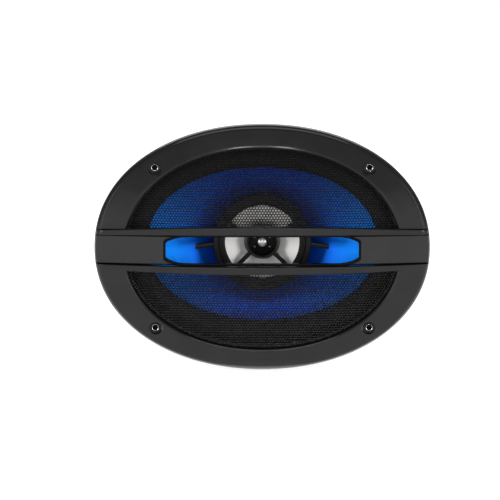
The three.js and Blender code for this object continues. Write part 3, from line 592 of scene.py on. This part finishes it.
def crownAt(x, y):
    reach = fullnessOf(abs(x), abs(y) * oval["outline"][0] / oval["outline"][1]) ** (1 / oval["fullness"])
    return crownZ(min(reach, 118.8))


def blockGrid(along, across, shape):
    # a flat grid pulled out to a block, then bent by shape: u and v run from -1 to 1, w from 0 to 1
    bm = bmesh.new()
    bmesh.ops.create_grid(bm, x_segments=along, y_segments=across, size=1)
    pulledUp(bm, (0, 0, 1))
    for v in bm.verts:
        v.co = shape(*v.co)
    return clean(bm)


def softened(bm, width, segments=3, above=50):
    limit = math.radians(above)
    edges = [e for e in bm.edges if len(e.link_faces) == 2 and e.calc_face_angle(0) > limit]
    bmesh.ops.bevel(bm, geom=edges, offset=width * mm, affect="EDGES", segments=segments, profile=0.5,
                    material=-1, clamp_overlap=True)
    return bm


def rail(side):
    def shape(u, v, w):
        lean = math.sin(u * math.pi / 2)
        x = lean * oval["outline"][0]
        share = (v + 1) / 2
        y = side * (railInner(x) + (railOuter(x) - railInner(x)) * share)
        x = lean * outlineX(y)
        top = min(railTop(x), crownAt(x, y))
        low = railTop(x) - band["railDepth"]
        return at(x, y, low + (top - low) * w)

    return softened(blockGrid(150, 3, shape), band["edge"])


for name, side in (("upper_rail", 1), ("lower_rail", -1)):
    made(rail(side), name + "_bar", railPlastic, [name], slot="rail_plastic")


def windowEnd(y, grow):  # half-length of the window, grown, at a height
    length, half = band["windowLength"] + grow, band["windowHalf"] + grow
    end, soft, taper = band["windowEndHalf"] + grow, 1.6, band["windowTaper"]
    y = abs(y)
    if y <= end - soft:
        return length
    if y <= end + soft / 3:
        t = (y - (end - soft)) / (soft * 4 / 3)
        return length - soft * t * t
    low = end + soft / 3
    t = 1 - math.sqrt(max(0.0, (half - min(y, half)) / (half - low)))
    return length - ((1 - t) ** 2 * soft + 2 * t * (1 - t) * taper * 0.55 + t * t * taper)


def panel(side):
    def shape(u, v, w):
        y = v * band["panelHalf"]
        outer, inner = outlineX(y), windowEnd(y, band["border"] + band["clearance"])
        lean = math.sin((u + 1) * math.pi / 4)
        x = side * (inner + (outer - inner) * lean)
        y += v * (railInner(x) - 0.04 - band["panelHalf"]) * (1 - w)  # the hidden foot closes the seam
        inner = windowEnd(y, band["border"] + band["clearance"])
        x = side * (inner + (outer - inner) * lean)
        top = min(railTop(x) - band["panelRecess"], crownAt(x, y) - 0.3)
        low = railTop(x) - band["railDepth"]
        return at(x, y, low + (top - low) * w)

    return softened(blockGrid(60, 24, shape), 0.7, above=50)


for name, side in (("left_panel", -1), ("right_panel", 1)):
    made(panel(side), name + "_plate", panelPlastic, [name], slot="satin_black_plastic")


def windowLoop(grow, count=60):  # points round the window, from the right end over the top
    half = band["windowHalf"] + grow
    points = []
    for sx, sy in ((1, 1), (-1, 1), (-1, -1), (1, -1)):
        quarter = []
        for i in range(count):
            y = half * math.sin(math.pi / 2 * i / (count - 1))
            quarter.append((sx * windowEnd(y, grow), sy * y))
        points += quarter if sx * sy > 0 else quarter[::-1]
    return points


def windowFrame():
    bm = bmesh.new()
    loops = []
    for grow in (0.0, band["border"] + 0.6):
        dots = []
        for x, y in windowLoop(grow):
            limit = railInner(x) - 0.02
            dots.append(bm.verts.new((x, max(-limit, min(limit, y)), 0)))
        loops.append([bm.edges.new((a, b)) for a, b in zip(dots, dots[1:] + dots[:1]) if a is not b])
    bmesh.ops.bridge_loops(bm, edges=loops[0] + loops[1])
    bmesh.ops.remove_doubles(bm, verts=bm.verts, dist=1e-4)
    pulledUp(bm, (0, 0, 1))
    for v in bm.verts:
        x, y, w = v.co
        v.co = at(x, y, railTop(x) - band["frameRecess"] - band["frameDepth"] * (1 - w))
    clean(bm)
    return softened(bm, 0.3, 2, above=60)


made(windowFrame(), "window_frame_ring", glossBlack, ["window_frame"], slot="black_plastic")
print("centre band made")

trim = {
    "skirt": 3.0, "lip": 6.9, "lipInset": 4.2, "crest": 9.5, "ledge": 2.4, "ledgeWidth": 2.0,
    "underside": 1.5, "flange": 113.0, "wall": 4.2, "hole": (76.0, 58.3), "counterbore": 4.0, "floor": 3.6,
    "bore": 2.8, "boss": 6.4,
}


def trimRing():
    outer, inner, inset = oval["outline"][0], oval["opening"][0], trim["lipInset"]
    crest = inner + 1.3
    slope = (trim["crest"] - trim["lip"]) / (outer - inset - crest)
    rise = trim["lip"] - trim["skirt"]

    def faceAt(reach):
        return trim["lip"] + slope * (outer - inset - reach)

    return ovalised(spun([
        (outer, 0, 0.3),
        (outer, trim["skirt"], 0.5),
        (outer - inset * 0.1, trim["skirt"] + rise * 0.38, 1.0),
        (outer - inset * 0.35, trim["skirt"] + rise * 0.72, 1.0),
        (outer - inset * 0.66, trim["skirt"] + rise * 0.91, 1.0),
        (outer - inset, trim["lip"], 1.6),
        (crest + 2.5, faceAt(crest + 2.5), 2.0),
        (crest, trim["crest"], 0.9),
        (inner, trim["crest"] - 0.9, 0.8),
        (inner, trim["ledge"], 0.2),
        (inner - trim["ledgeWidth"], trim["ledge"], 0.2),
        (inner - trim["ledgeWidth"], trim["underside"]),
        (inner + 6.2, trim["underside"]),
        (inner + 6.7, faceAt(inner + 6.7) - trim["wall"], 0.6),
        (trim["flange"] - 1.5, faceAt(trim["flange"] - 1.5) - trim["wall"], 0.6),
        (trim["flange"] - 1, trim["underside"]),
        (trim["flange"] + 0.3, trim["underside"]),
        (trim["flange"] + 0.3, 0),
    ], 320), trimHeight)


def atHoles(makeOne):
    parts = []
    for sx in (-1, 1):
        for sy in (-1, 1):
            parts.append(moved(makeOne(), at(sx * trim["hole"][0], sy * trim["hole"][1], 0)))
    return joined(*parts)


def screwBoss():
    return spun([(0, 1.5), (trim["boss"], 1.5), (trim["boss"], 6.2, 0.4), (0, 6.2)], 40)


def counterboreTool():
    return spun([
        (0, -1),
        (trim["bore"], -1),
        (trim["bore"], trim["floor"], 0.25),
        (trim["counterbore"], trim["floor"], 0.3),
        (trim["counterbore"], 7.45, 0.2),  # the hole's mouth widens from here to the face
        (trim["counterbore"] + 1.9, 9.4),
        (trim["counterbore"] + 1.9, 14),
        (0, 14),
    ], 56)


def bandNotch():
    def shape(u, v, w):
        x = u * 125
        y = v * (railOuter(x) + 0.25)
        low = railTop(x) - band["railDepth"] - 0.3
        return at(x, y, low + (20 - low) * w)

    return blockGrid(80, 2, shape)


ring = looseObject(trimRing(), "trim_ring")
carved(ring, looseObject(atHoles(screwBoss), "boss"), "UNION")
carved(ring, looseObject(atHoles(counterboreTool), "bore"))
carved(ring, looseObject(bandNotch(), "notch"))
dressed(ring, trimPlastic, ["grille_frame"], slot="satin_black_plastic", sharp=32)

corners = {"upper_left": (-1, 1), "upper_right": (1, 1), "lower_left": (-1, -1), "lower_right": (1, -1)}
for corner, (sx, sy) in corners.items():
    eyelet = spun([(1.95, 1.8), (2.5, 1.8), (2.5, 3.6, 0.2), (2.3, 3.8, 0.1), (1.95, 3.6, 0.1)], 40)
    moved(eyelet, at(sx * trim["hole"][0], sy * trim["hole"][1], 0))
    made(eyelet, "eyelet_" + corner, brightSteel, ["screw_eyelet_" + corner],
            slot="zinc_steel")
print("trim ring and eyelets made")

perforation = {
    "pitch": 2.07, "hole": 0.72, "sides": 12, "thickness": 0.7, "edge": 97.2, "level": 3.5, "dome": 6.0,
    "slot": 12.6, "startAt": 99, "cutPast": 101, "cutAbove": 76,
}


def latticeSheet():
    pitch, sides = perforation["pitch"], perforation["sides"]
    row = pitch * math.sqrt(3) / 2
    bm = bmesh.new()
    rim = bmesh.ops.create_circle(bm, segments=6, radius=pitch / math.sqrt(3))["verts"]
    bmesh.ops.rotate(bm, verts=rim, cent=(0, 0, 0), matrix=Matrix.Rotation(math.radians(30), 3, "Z"))
    bmesh.ops.subdivide_edges(bm, edges=bm.edges[:], cuts=1)
    hole = bmesh.ops.create_circle(bm, segments=sides, radius=perforation["hole"])["verts"]
    bmesh.ops.rotate(bm, verts=hole, cent=(0, 0, 0), matrix=Matrix.Rotation(math.radians(30), 3, "Z"))
    bmesh.ops.bridge_loops(bm, edges=bm.edges[:])
    moved(bm, (-perforation["startAt"], 0, 0))
    for doubling in range(7):  # a row of 128 cells
        repeated(bm, (pitch * 2 ** doubling, 0, 0))
    far = [f for f in bm.faces if f.calc_center_median().x > perforation["cutPast"]]
    bmesh.ops.delete(bm, geom=far, context="FACES")
    moved(bm, (0, perforation["slot"] - 0.6, 0))
    repeated(bm, (pitch / 2, row, 0))
    for doubling in range(1, 6):  # then 64 rows
        repeated(bm, (0, row * 2 ** doubling, 0))
        over = [f for f in bm.faces if f.calc_center_median().y > perforation["cutAbove"]]
        bmesh.ops.delete(bm, geom=over, context="FACES")
    return bm


def domedMesh(side):
    bm = latticeSheet()
    bmesh.ops.remove_doubles(bm, verts=bm.verts, dist=0.01)
    a, b = perforation["edge"], meshHeight(perforation["edge"])

    def share(co):
        return fullnessOf(abs(co.x) / a, abs(co.y) / b) ** (1 / oval["fullness"])

    gone = [f for f in bm.faces if all(share(v.co) > 0.9999 for v in f.verts)
            or all(v.co.y < perforation["slot"] for v in f.verts)]
    bmesh.ops.delete(bm, geom=gone, context="FACES")
    for v in bm.verts:
        v.co.y = max(v.co.y, perforation["slot"])
        out = share(v.co)
        if out > 1:
            v.co.x, v.co.y = v.co.x / out, max(v.co.y / out, perforation["slot"])
    bmesh.ops.remove_doubles(bm, verts=bm.verts, dist=0.02)
    bmesh.ops.dissolve_degenerate(bm, edges=bm.edges, dist=0.005)
    for v in bm.verts:
        out = share(v.co)
        v.co = at(v.co.x, side * v.co.y, perforation["level"] + perforation["dome"] * (1 - out * out))
    bmesh.ops.recalc_face_normals(bm, faces=bm.faces)
    outward = sum(f.normal.y * f.calc_area() for f in bm.faces)
    if outward > 0:
        bmesh.ops.reverse_faces(bm, faces=bm.faces)
    return bm


for name, side in (("upper_mesh", 1), ("lower_mesh", -1)):
    screen = looseObject(domedMesh(side), name + "_perforated")
    thick = screen.modifiers.new("thickness", "SOLIDIFY")
    thick.thickness = perforation["thickness"] * mm
    thick.offset = -1
    thick.material_offset_rim = 1  # the wall of each hole takes a brighter finish than the painted face: a painted glint, standing in for the light the hole edges catch
    dressed(screen, meshPaint, [name], slot="black_painted_steel", sharp=45)
    screen.data.materials.append(punchedEdgePaintedGlint)
print("perforated mesh made")

basket = {
    "wall": 100.6, "sheet": 1.2, "ledge": -9.8, "ledgeInner": 92.5, "spiderLedge": -42.9, "spiderOuter": 48.0,
    "spiderInner": 40.5, "floor": -50.0, "bore": 22.9, "windowOuter": 86.0, "windowInner": 60.0, "windows": 6,
    "arm": 16.0, "ribHeight": 1.4, "ribHalfAngle": 4.5, "ribFrom": 58, "ribTo": 91,
}


def basketShell():
    wall, sheet, ledge, spider = basket["wall"], basket["sheet"], basket["ledge"], basket["spiderLedge"]
    half, outer, inner = sheet / 2, basket["spiderOuter"], basket["spiderInner"]
    inside = [(90 - 34 * s, -12 - (26.7 - 0.8 * s) * s) for s in (0.25, 0.5, 0.75)]
    outside = [(57.4 + 34.3 * s, -38.5 + 25.8 * s) for s in (0.25, 0.5, 0.75)]
    bm = spun([
        (trim["flange"], 0, 0.2),
        (trim["flange"], sheet, 0.3),
        (wall + half - sheet, sheet, 1.4),
        (wall - half, ledge, 0.8),
        (basket["ledgeInner"], ledge, 1.2),
        (basket["ledgeInner"] - 2, ledge - 2.2, 2.0),
        *inside,
        (outer + 8, spider + 5, 2.0),
        (outer, spider, 1.2),
        (inner, spider, 0.6),
        (inner - 1.5, basket["floor"] + sheet, 0.8),
        (basket["bore"], basket["floor"] + sheet, 0.2),
        (basket["bore"], basket["floor"], 0.2),
        (inner - 0.6, basket["floor"], 1.2),
        (inner + 1, spider - sheet, 0.8),
        (outer + 0.6, spider - sheet, 1.6),
        (outer + 9.4, spider + 4.4, 2.4),
        *outside,
        (basket["ledgeInner"] - 0.8, ledge - 2.9, 2.0),
        (basket["ledgeInner"] + 0.8, ledge - sheet, 1.4),
        (wall + half, ledge - sheet, 1.6),
        (wall + half, 0, 0.5),
    ], 288, fillet=3)
    for v in bm.verts:  # a rib pressed out of each arm
        reach = math.hypot(v.co.x, v.co.z) / mm
        angle = math.degrees(math.atan2(v.co.z, v.co.x))
        onWall = basket["ribFrom"] < reach < basket["ribTo"] and -v.co.y / mm < -12
        if onWall and abs(angle + 90) > 20:  # the terminal arm stays flat
            lift = easeTo(1.35 - abs(angle % 60 - 30) / basket["ribHalfAngle"])
            lift *= easeTo((reach - basket["ribFrom"]) / 8) * easeTo((basket["ribTo"] - reach) / 8)
            v.co.y += lift * basket["ribHeight"] * mm
    return ovalised(bm, basketHeight, basket["spiderOuter"])


def windowTools():
    spread = math.radians(360 / basket["windows"] - basket["arm"]) / 2
    parts = []
    for i in range(basket["windows"]):
        middle = turn * i / basket["windows"]

        def shape(u, v, w):
            soft = 1 - 0.16 * max(0.0, abs(u) - 0.72) / 0.28 * abs(v) ** 3  # rounded corners
            reach = (basket["windowOuter"] + basket["windowInner"]) / 2
            reach += v * soft * (basket["windowOuter"] - basket["windowInner"]) / 2
            angle = middle + u * spread * (1 - 0.07 * abs(v) ** 4)
            return at(reach * math.cos(angle), basketHeight(reach) * math.sin(angle), -60 + 54 * w)

        parts.append(blockGrid(24, 10, shape))
    return joined(*parts)


shell = looseObject(basketShell(), "pressed_basket")
carved(shell, looseObject(windowTools(), "windows"))
screwHole = [(0, -3), (2.25, -3), (2.25, 3), (0, 3)]
carved(shell, looseObject(atHoles(lambda: spun(screwHole, 32)), "holes"))
dressed(shell, basketPaint, ["basket"], slot="black_painted_steel", sharp=35)

gasket = {"inner": 101.9, "outer": 112.3, "thick": 2.0, "gap": 0.04}  # soft strip behind the flange
strip = ovalised(spun([
    (gasket["inner"], -gasket["thick"], 0.5),
    (gasket["outer"], -gasket["thick"], 0.5),
    (gasket["outer"], -gasket["gap"], 0.2),
    (gasket["inner"], -gasket["gap"], 0.2),
], 240), basketHeight, basket["spiderOuter"])
made(strip, "foam_gasket", sealFoam, slot="black_rubber")
print("basket made")

woofer = {
    "edge": -9.0, "neckDepth": -36.0, "sag": 1.0, "paper": 0.8, "roll": 5.5, "rollOuter": 94.7,
    "lip": -8.9, "lipOuter": 99.7, "rubber": 0.6,
}


def coneBody():
    line = []
    steps = 26
    for i in range(steps + 1):
        share = i / steps
        reach = oval["neck"] + (oval["cone"][0] - oval["neck"]) * share
        depth = woofer["neckDepth"] + (woofer["edge"] - woofer["neckDepth"]) * share
        line.append((reach, depth - woofer["sag"] * 4 * share * (1 - share)))
    return ovalised(spun(sheetLine(line, woofer["paper"]), 288), coneHeight, oval["neck"])


made(coneBody(), "lacquered_cone", blueLacquerAndPaintedLight, ["woofer_cone"], "woofer", "blue_cone")


def rollBody():
    inner, outer, edge = oval["cone"][0] + 0.3, woofer["rollOuter"], woofer["edge"]
    under = edge - woofer["paper"] - 0.05
    line = [(inner - 2.3, under - 0.9), (inner - 0.4, under - 0.02), (inner, edge - 0.5), (inner + 0.3, edge)]
    for i in range(1, 20):
        angle = math.pi * i / 20
        reach = (inner + outer) / 2 - (outer - inner) / 2 * math.cos(angle)
        line.append((reach, edge + woofer["roll"] * math.sin(angle) ** 0.9))
    line += [(outer + 0.3, woofer["lip"]), (woofer["lipOuter"], woofer["lip"])]
    return ovalised(spun(sheetLine(line, woofer["rubber"]), 288), trimHeight)


made(rollBody(), "rubber_roll", rollRubber, ["surround"], slot="black_rubber",
        blendTo={"body": "woofer", "fixed": 94.5, "moving": 82.2, "heightOf": trimHeight})

clamp = ovalised(spun([
    (96.1, -8.6), (99.7, -8.6), (99.7, -5.0, 0.5), (96.7, -5.0, 0.6), (96.1, -5.8, 0.5),
], 240), trimHeight)
made(clamp, "clamp_ring_card", pressedCard, ["clamp_ring"], slot="card")


spider = {"level": -42.1, "first": 21.5, "last": 40.0, "rim": 45.0, "waves": 6, "wave": 1.1, "cloth": 0.5}


def spiderBody():
    level, first, last, waves = spider["level"], spider["first"], spider["last"], spider["waves"]
    line = [(oval["neck"], level), (first - 0.6, level)]
    for i in range(waves * 8 + 1):
        share = i / (waves * 8)
        fade = easeTo(share * 6) * easeTo((1 - share) * 6)
        line.append((first + (last - first) * share,
                     level + spider["wave"] * fade * math.sin(turn * waves * share)))
    line += [(last + 1.2, level), (spider["rim"], level)]
    return spun(sheetLine(line, spider["cloth"]), 192)


made(spiderBody(), "corrugated_spider", spiderCloth, ["spider"], slot="spider_cloth",
        blendTo={"body": "woofer", "fixed": 40.5, "moving": 20.2, "heightOf": lambda reach: reach})

coil = {"turns": 15, "low": -57.8, "high": -48.8, "inner": 19.5, "outer": 20.2, "groove": 20.02}
former = spun([(18.9, -60), (19.2, -60), (19.2, -34.8, 0.1), (18.9, -34.8, 0.1)], 128)
made(former, "coil_former", coilFoil, ["voice_coil_former"], "woofer", "foil")


def windingBody():
    low, high, steps = coil["low"], coil["high"], coil["turns"] * 2
    line = [(coil["inner"], low), (20.0, low)]
    for i in range(steps):
        line.append((coil["groove"] if i % 2 else coil["outer"], low + (high - low) * (i + 0.5) / steps))
    line += [(20.0, high), (coil["inner"], high)]
    return spun(line, 96)


made(windingBody(), "coil_winding", copperWire, ["voice_coil_winding"], "woofer", "copper_wire")
print("woofer made")

frontPlate = spun([(20.8, -56.3), (46, -56.3, 0.5), (46, -50.3, 0.5), (20.8, -50.3, 0.3)], 192)
made(frontPlate, "front_plate", zincSteel, ["top_plate"], slot="plain_steel")
magnetRing = spun([(25, -72.6, 0.6), (50, -72.6, 0.9), (50, -56.6, 0.9), (25, -56.6, 0.6)], 192)
made(magnetRing, "magnet_ring", ferrite, ["magnet"], slot="ferrite")
backPlate = spun([
    (4, -78.9, 0.5), (17.5, -78.9, 0.4), (18.2, -78.4, 0.3), (20.8, -78.4, 0.3), (21.5, -78.9, 0.4),
    (45, -78.9, 0.4), (46, -77.9, 0.4), (46, -72.9, 0.4), (18.5, -72.9, 0.6), (18.5, -50.0, 0.5),
    (4, -50.0, 0.3),
], 192)
made(backPlate, "back_plate_and_pole", zincSteel, ["yoke"], slot="plain_steel")
for i in range(4):
    stake = spun([(0, -48.5), (2.6, -48.5, 0.2), (2.4, -47.8, 0.3), (1.6, -47.2, 0.3), (0, -47.0)], 28)
    placed(stake, 31.5, 45 + 90 * i)
    made(stake, f"stake_{i + 1}", zincSteel, [f"basket_rivet_{i + 1}"], slot="zinc_steel")
print("motor made")

post = spun([(0, -60), (3.7, -60, 0.4), (3.7, -49.7), (8, -49.7, 0.4), (8, -34.9, 0.4), (0, -34.9)], 64)
made(post, "post_turning", moulded, ["centre_post"], slot="black_plastic")

housing = {
    "front": -12.0, "base": -34.6, "radius": 35.0, "wallInner": 30.8, "seat": -15.7, "armReach": 47.5,
    "armTall": 3.3, "armDrop": 1.5, "armThick": 3.0, "armRise": 8.0,
}


def housingBowl():
    front, base, radius, wall = housing["front"], housing["base"], housing["radius"], housing["wallInner"]
    seat = housing["seat"]
    return spun([
        (0, base), (15.5, base, 0.6), (17.2, base + 4.3, 0.8), (21, -29.8, 1.5), (28, -25.4, 2),
        (34, -20.6, 0.8), (radius, -18.6, 0.8), (radius, front - 0.6, 0.5), (radius - 0.6, front, 0.5),
        (wall + 0.6, front, 0.4), (wall, front - 0.6, 0.4), (wall, seat, 0.2), (28.6, seat, 0.2),
        (28.2, seat - 1, 0.4), (27, -23.4, 2), (19.9, -28.6, 1.5), (15.4, -29.6, 0.6),
        (14.6, base + 2, 0.3), (0, base + 2),
    ], 144)


def sideArm(side):
    root, low = housing["radius"] - 1.6, housing["front"] - 4.2

    def shape(u, v, w):
        share = (u + 1) / 2
        x = root + (housing["armReach"] - root) * share
        y = -housing["armDrop"] + v * housing["armTall"] / 2
        return at(side * x, y, low + housing["armRise"] * share + housing["armThick"] * w)

    return softened(blockGrid(10, 1, shape), 0.35)


bowl = joined(housingBowl(), sideArm(-1), sideArm(1))
made(bowl, "housing_bowl", moulded, ["midrange_housing"], slot="black_plastic")


midCone = {"neck": 9.8, "low": -24.6, "width": 16.6, "rise": 9.7, "crown": 1.1, "paper": 0.5, "edge": -14.9}


def midConeBody():
    line = []
    for i in range(17):
        share = i / 16
        crown = midCone["crown"] * share * (1 - share)
        line.append((midCone["neck"] + midCone["width"] * share,
                     midCone["low"] + midCone["rise"] * share + crown))
    return spun(sheetLine(line, midCone["paper"]), 160)


made(midConeBody(), "midrange_paper", silverCone, ["midrange_cone"], "midrange", "silver_cone")


def midRollBody():
    edge = midCone["edge"]
    line = [(26.7, edge)]
    for i in range(1, 10):
        angle = math.pi * i / 10
        line.append((27.7 - math.cos(angle), edge + 0.9 * math.sin(angle)))
    line += [(28.7, edge), (30.5, edge)]
    return spun(sheetLine(line, midCone["paper"]), 160)


made(midRollBody(), "midrange_roll", rollRubber, ["midrange_surround"], slot="black_rubber",
        blendTo={"body": "midrange", "fixed": 28.8, "moving": 26.8, "heightOf": lambda reach: reach})
midParts = {  # profile, finish, body, slot
    "midrange_yoke": (
        [(0, -32.3), (14.2, -32.3, 0.4), (14.2, -26.1, 0.3), (10.8, -26.1, 0.2), (10.8, -30.6), (0, -30.6)],
        zincSteel, "frame", "plain_steel"),
    "midrange_magnet": (
        [(0, -30.3), (8, -30.3, 0.3), (8, -27.9, 0.3), (0, -27.9)],
        ferrite, "frame", "ferrite"),
    "midrange_pole_plate": (
        [(0, -27.6), (8.6, -27.6, 0.2), (8.6, -26.1, 0.2), (0, -26.1)],
        zincSteel, "frame", "plain_steel"),
    "midrange_coil": (
        [(9.2, -29.7), (9.5, -29.7), (9.5, -24.2), (9.2, -24.2)],
        copperWire, "midrange", "copper_wire"),
}
for name, (profile, finish, body, slot) in midParts.items():
    made(spun(profile, 72), name + "_turned", finish, [name], body, slot)
print("midrange made")

tweeter = {
    "strutWidth": 2.9, "upperStrutAngle": 31.0, "lowerStrutAngle": 43.0, "front": -12.9, "back": -15.1,
    "hub": 11.0, "bore": 9.7, "rivetCircle": 6.35, "domeRadius": 3.4, "domeFoot": -13.6, "domeHeight": 1.5,
}


def strut(angle):
    side = [
        (10.35, tweeter["back"]), (22, -13.2), (30.2, -11.7), (34.3, -11.7), (34.3, -10.1), (33.9, -9.7),
        (29.8, -9.7), (22, -11.0), (10.35, tweeter["front"]),
    ]
    bm = bmesh.new()
    half = tweeter["strutWidth"] / 2
    bm.faces.new([bm.verts.new(at(r, -half, z)) for r, z in side])
    pulledUp(bm, at(0, half * 2, 0))
    bmesh.ops.recalc_face_normals(bm, faces=bm.faces)
    softened(bm, 0.35, 3, above=50)
    spoke = Matrix.Rotation(-math.radians(angle), 3, "Y")
    bmesh.ops.rotate(bm, verts=bm.verts, cent=(0, 0, 0), matrix=spoke)
    return bm


hub = spun([
    (tweeter["bore"], tweeter["back"]),
    (tweeter["hub"], tweeter["back"]),
    (tweeter["hub"], tweeter["front"], 0.5),
    (tweeter["bore"], tweeter["front"], 0.3),
], 96)
high, low = tweeter["upperStrutAngle"], tweeter["lowerStrutAngle"]
bridge = joined(hub, *[strut(angle) for angle in (high, 180 - high, 180 + low, -low)])
made(bridge, "bridge_casting", moulded, ["tweeter_bridge"], slot="black_plastic")

cup = spun([
    (0, -21), (10.5, -21, 0.6), (12.3, -19.5, 0.8), (12.8, -17.5, 0.8), (12.8, -15.9, 0.4),
    (12.2, -15.4, 0.3), (10.8, -15.4, 0.2), (10.2, -15.9), (10.2, -19.2), (0, -19.2),
], 96)
# the black plastic cup is shown in the painted-light grey
made(cup, "tweeter_shell", cupPaintedLightGrey, ["tweeter_cup"], slot="black_plastic")
slug = spun([(0, -18.9), (8.5, -18.9, 0.3), (8.5, -16.2, 0.3), (0, -16.2)], 72)
made(slug, "tweeter_slug", ferrite, ["tweeter_magnet"], slot="ferrite")
plate = spun([
    (0, -15.6), (9.4, -15.6, 0.2), (9.4, -14.4, 0.3), (8.3, -14.4, 0.3), (7.9, -14.75, 0.2),
    (4.6, -14.75, 0.3), (4.1, -14.5, 0.2), (0, -14.5),
], 96)
made(plate, "tweeter_face", glossBlack, ["tweeter_plate"], slot="black_plastic")
domeRadius, domeFoot, domeHeight = tweeter["domeRadius"], tweeter["domeFoot"], tweeter["domeHeight"]
domeLine = [(0, domeFoot - 0.3), (domeRadius, domeFoot - 0.3, 0.1), (domeRadius, domeFoot)]
for i in range(1, 12):
    angle = math.pi / 2 * i / 12
    domeLine.append((domeRadius * math.cos(angle), domeFoot + domeHeight * math.sin(angle)))
domeLine.append((0, domeFoot + domeHeight))
made(spun(domeLine, 72), "dome_cap", silverDome, ["tweeter_dome"], "tweeter", "silver_cone")
for i in range(4):
    head = spun([(0, -14.1), (0.9, -14.1, 0.1), (0.75, -13.7, 0.2), (0.4, -13.52, 0.1), (0, -13.5)], 24)
    placed(head, tweeter["rivetCircle"], 33 + (i % 2) * 114 + (i // 2) * 180)
    made(head, f"rivet_head_{i + 1}", blackenedSteel, [f"tweeter_rivet_{i + 1}"],
            slot="zinc_steel")
print("tweeter made")

# The terminal board stands on the bottom arm's outer face
armTop = (basketHeight(91.7), -12.7)
armFoot = (basketHeight(57.4), -38.5)
armTilt = math.atan2(armTop[0] - armFoot[0], armTop[1] - armFoot[1])
armMiddle = ((armTop[0] + armFoot[0]) / 2, (armTop[1] + armFoot[1]) / 2)


def onArm(bm):  # drawn with x across, y away from the basket and z up the arm
    tilt = Matrix.Rotation(armTilt, 3, "X") @ Matrix.Rotation(math.pi, 3, "X")
    for v in bm.verts:
        p = tilt @ v.co
        v.co = at(p.x, p.y - armMiddle[0], p.z + armMiddle[1])
    return clean(bm)


def slab(low, high, edge):
    bm = bmesh.new()
    bmesh.ops.create_cube(bm, size=1)
    size = [b - a for a, b in zip(low, high)]
    bmesh.ops.scale(bm, verts=bm.verts, vec=size)
    moved(bm, [(a + b) / 2 for a, b in zip(low, high)])
    bmesh.ops.bevel(bm, geom=bm.edges[:], offset=edge, affect="EDGES", segments=2, profile=0.5, material=-1)
    return bm


terminals = {
    "half": 13.65, "tall": 17.0, "thick": 2.0, "foot": 0.6, "rivet": 10.85,
    "seat": (7.6, 4.2, 7.0),  # half width, depth and half height of the pressed seat under the board
    "tabs": {"terminal_positive": (-5.5, 6.3), "terminal_negative": (5.5, 4.8)},  # place and width
}
foot = terminals["foot"] + terminals["thick"] + 0.3
boardBody = slab((-terminals["half"], terminals["foot"], -terminals["tall"] / 2),
                 (terminals["half"], terminals["foot"] + terminals["thick"], terminals["tall"] / 2), 0.35)
made(onArm(boardBody), "fibre_board", boardFibre, ["terminal_board"], slot="card")
seatHalf, seatDeep, seatTall = terminals["seat"]
seat = slab((-seatHalf, -seatDeep, -seatTall), (seatHalf, terminals["foot"] - 0.05, seatTall), 0.5)
made(onArm(seat), "terminal_seat", basketPaint, slot="black_painted_steel")
for name, (middle, width) in terminals["tabs"].items():
    base = slab((middle - width / 2, foot, -3.25), (middle + width / 2, foot + 0.8, 3.25), 0.15)
    blade = slab((middle - width / 2, foot + 0.2, 2.45), (middle + width / 2, foot + 9, 3.25), 0.2)
    made(onArm(joined(base, blade)), name + "_tab", tinnedBrass, [name], slot="tinned_brass")
for name, side in (("board_rivet_left", -1), ("board_rivet_right", 1)):
    head = spun([(0, 0), (1.6, 0, 0.1), (1.4, 0.5, 0.25), (0.8, 0.85, 0.2), (0, 0.9)], 28)
    for v in head.verts:  # turned on the sound axis, then stood on the board
        v.co = Vector((v.co.x / mm + side * terminals["rivet"], -v.co.y / mm + foot, v.co.z / mm))
    made(onArm(head), name + "_head", zincSteel, [name], slot="zinc_steel")
print("terminals made")
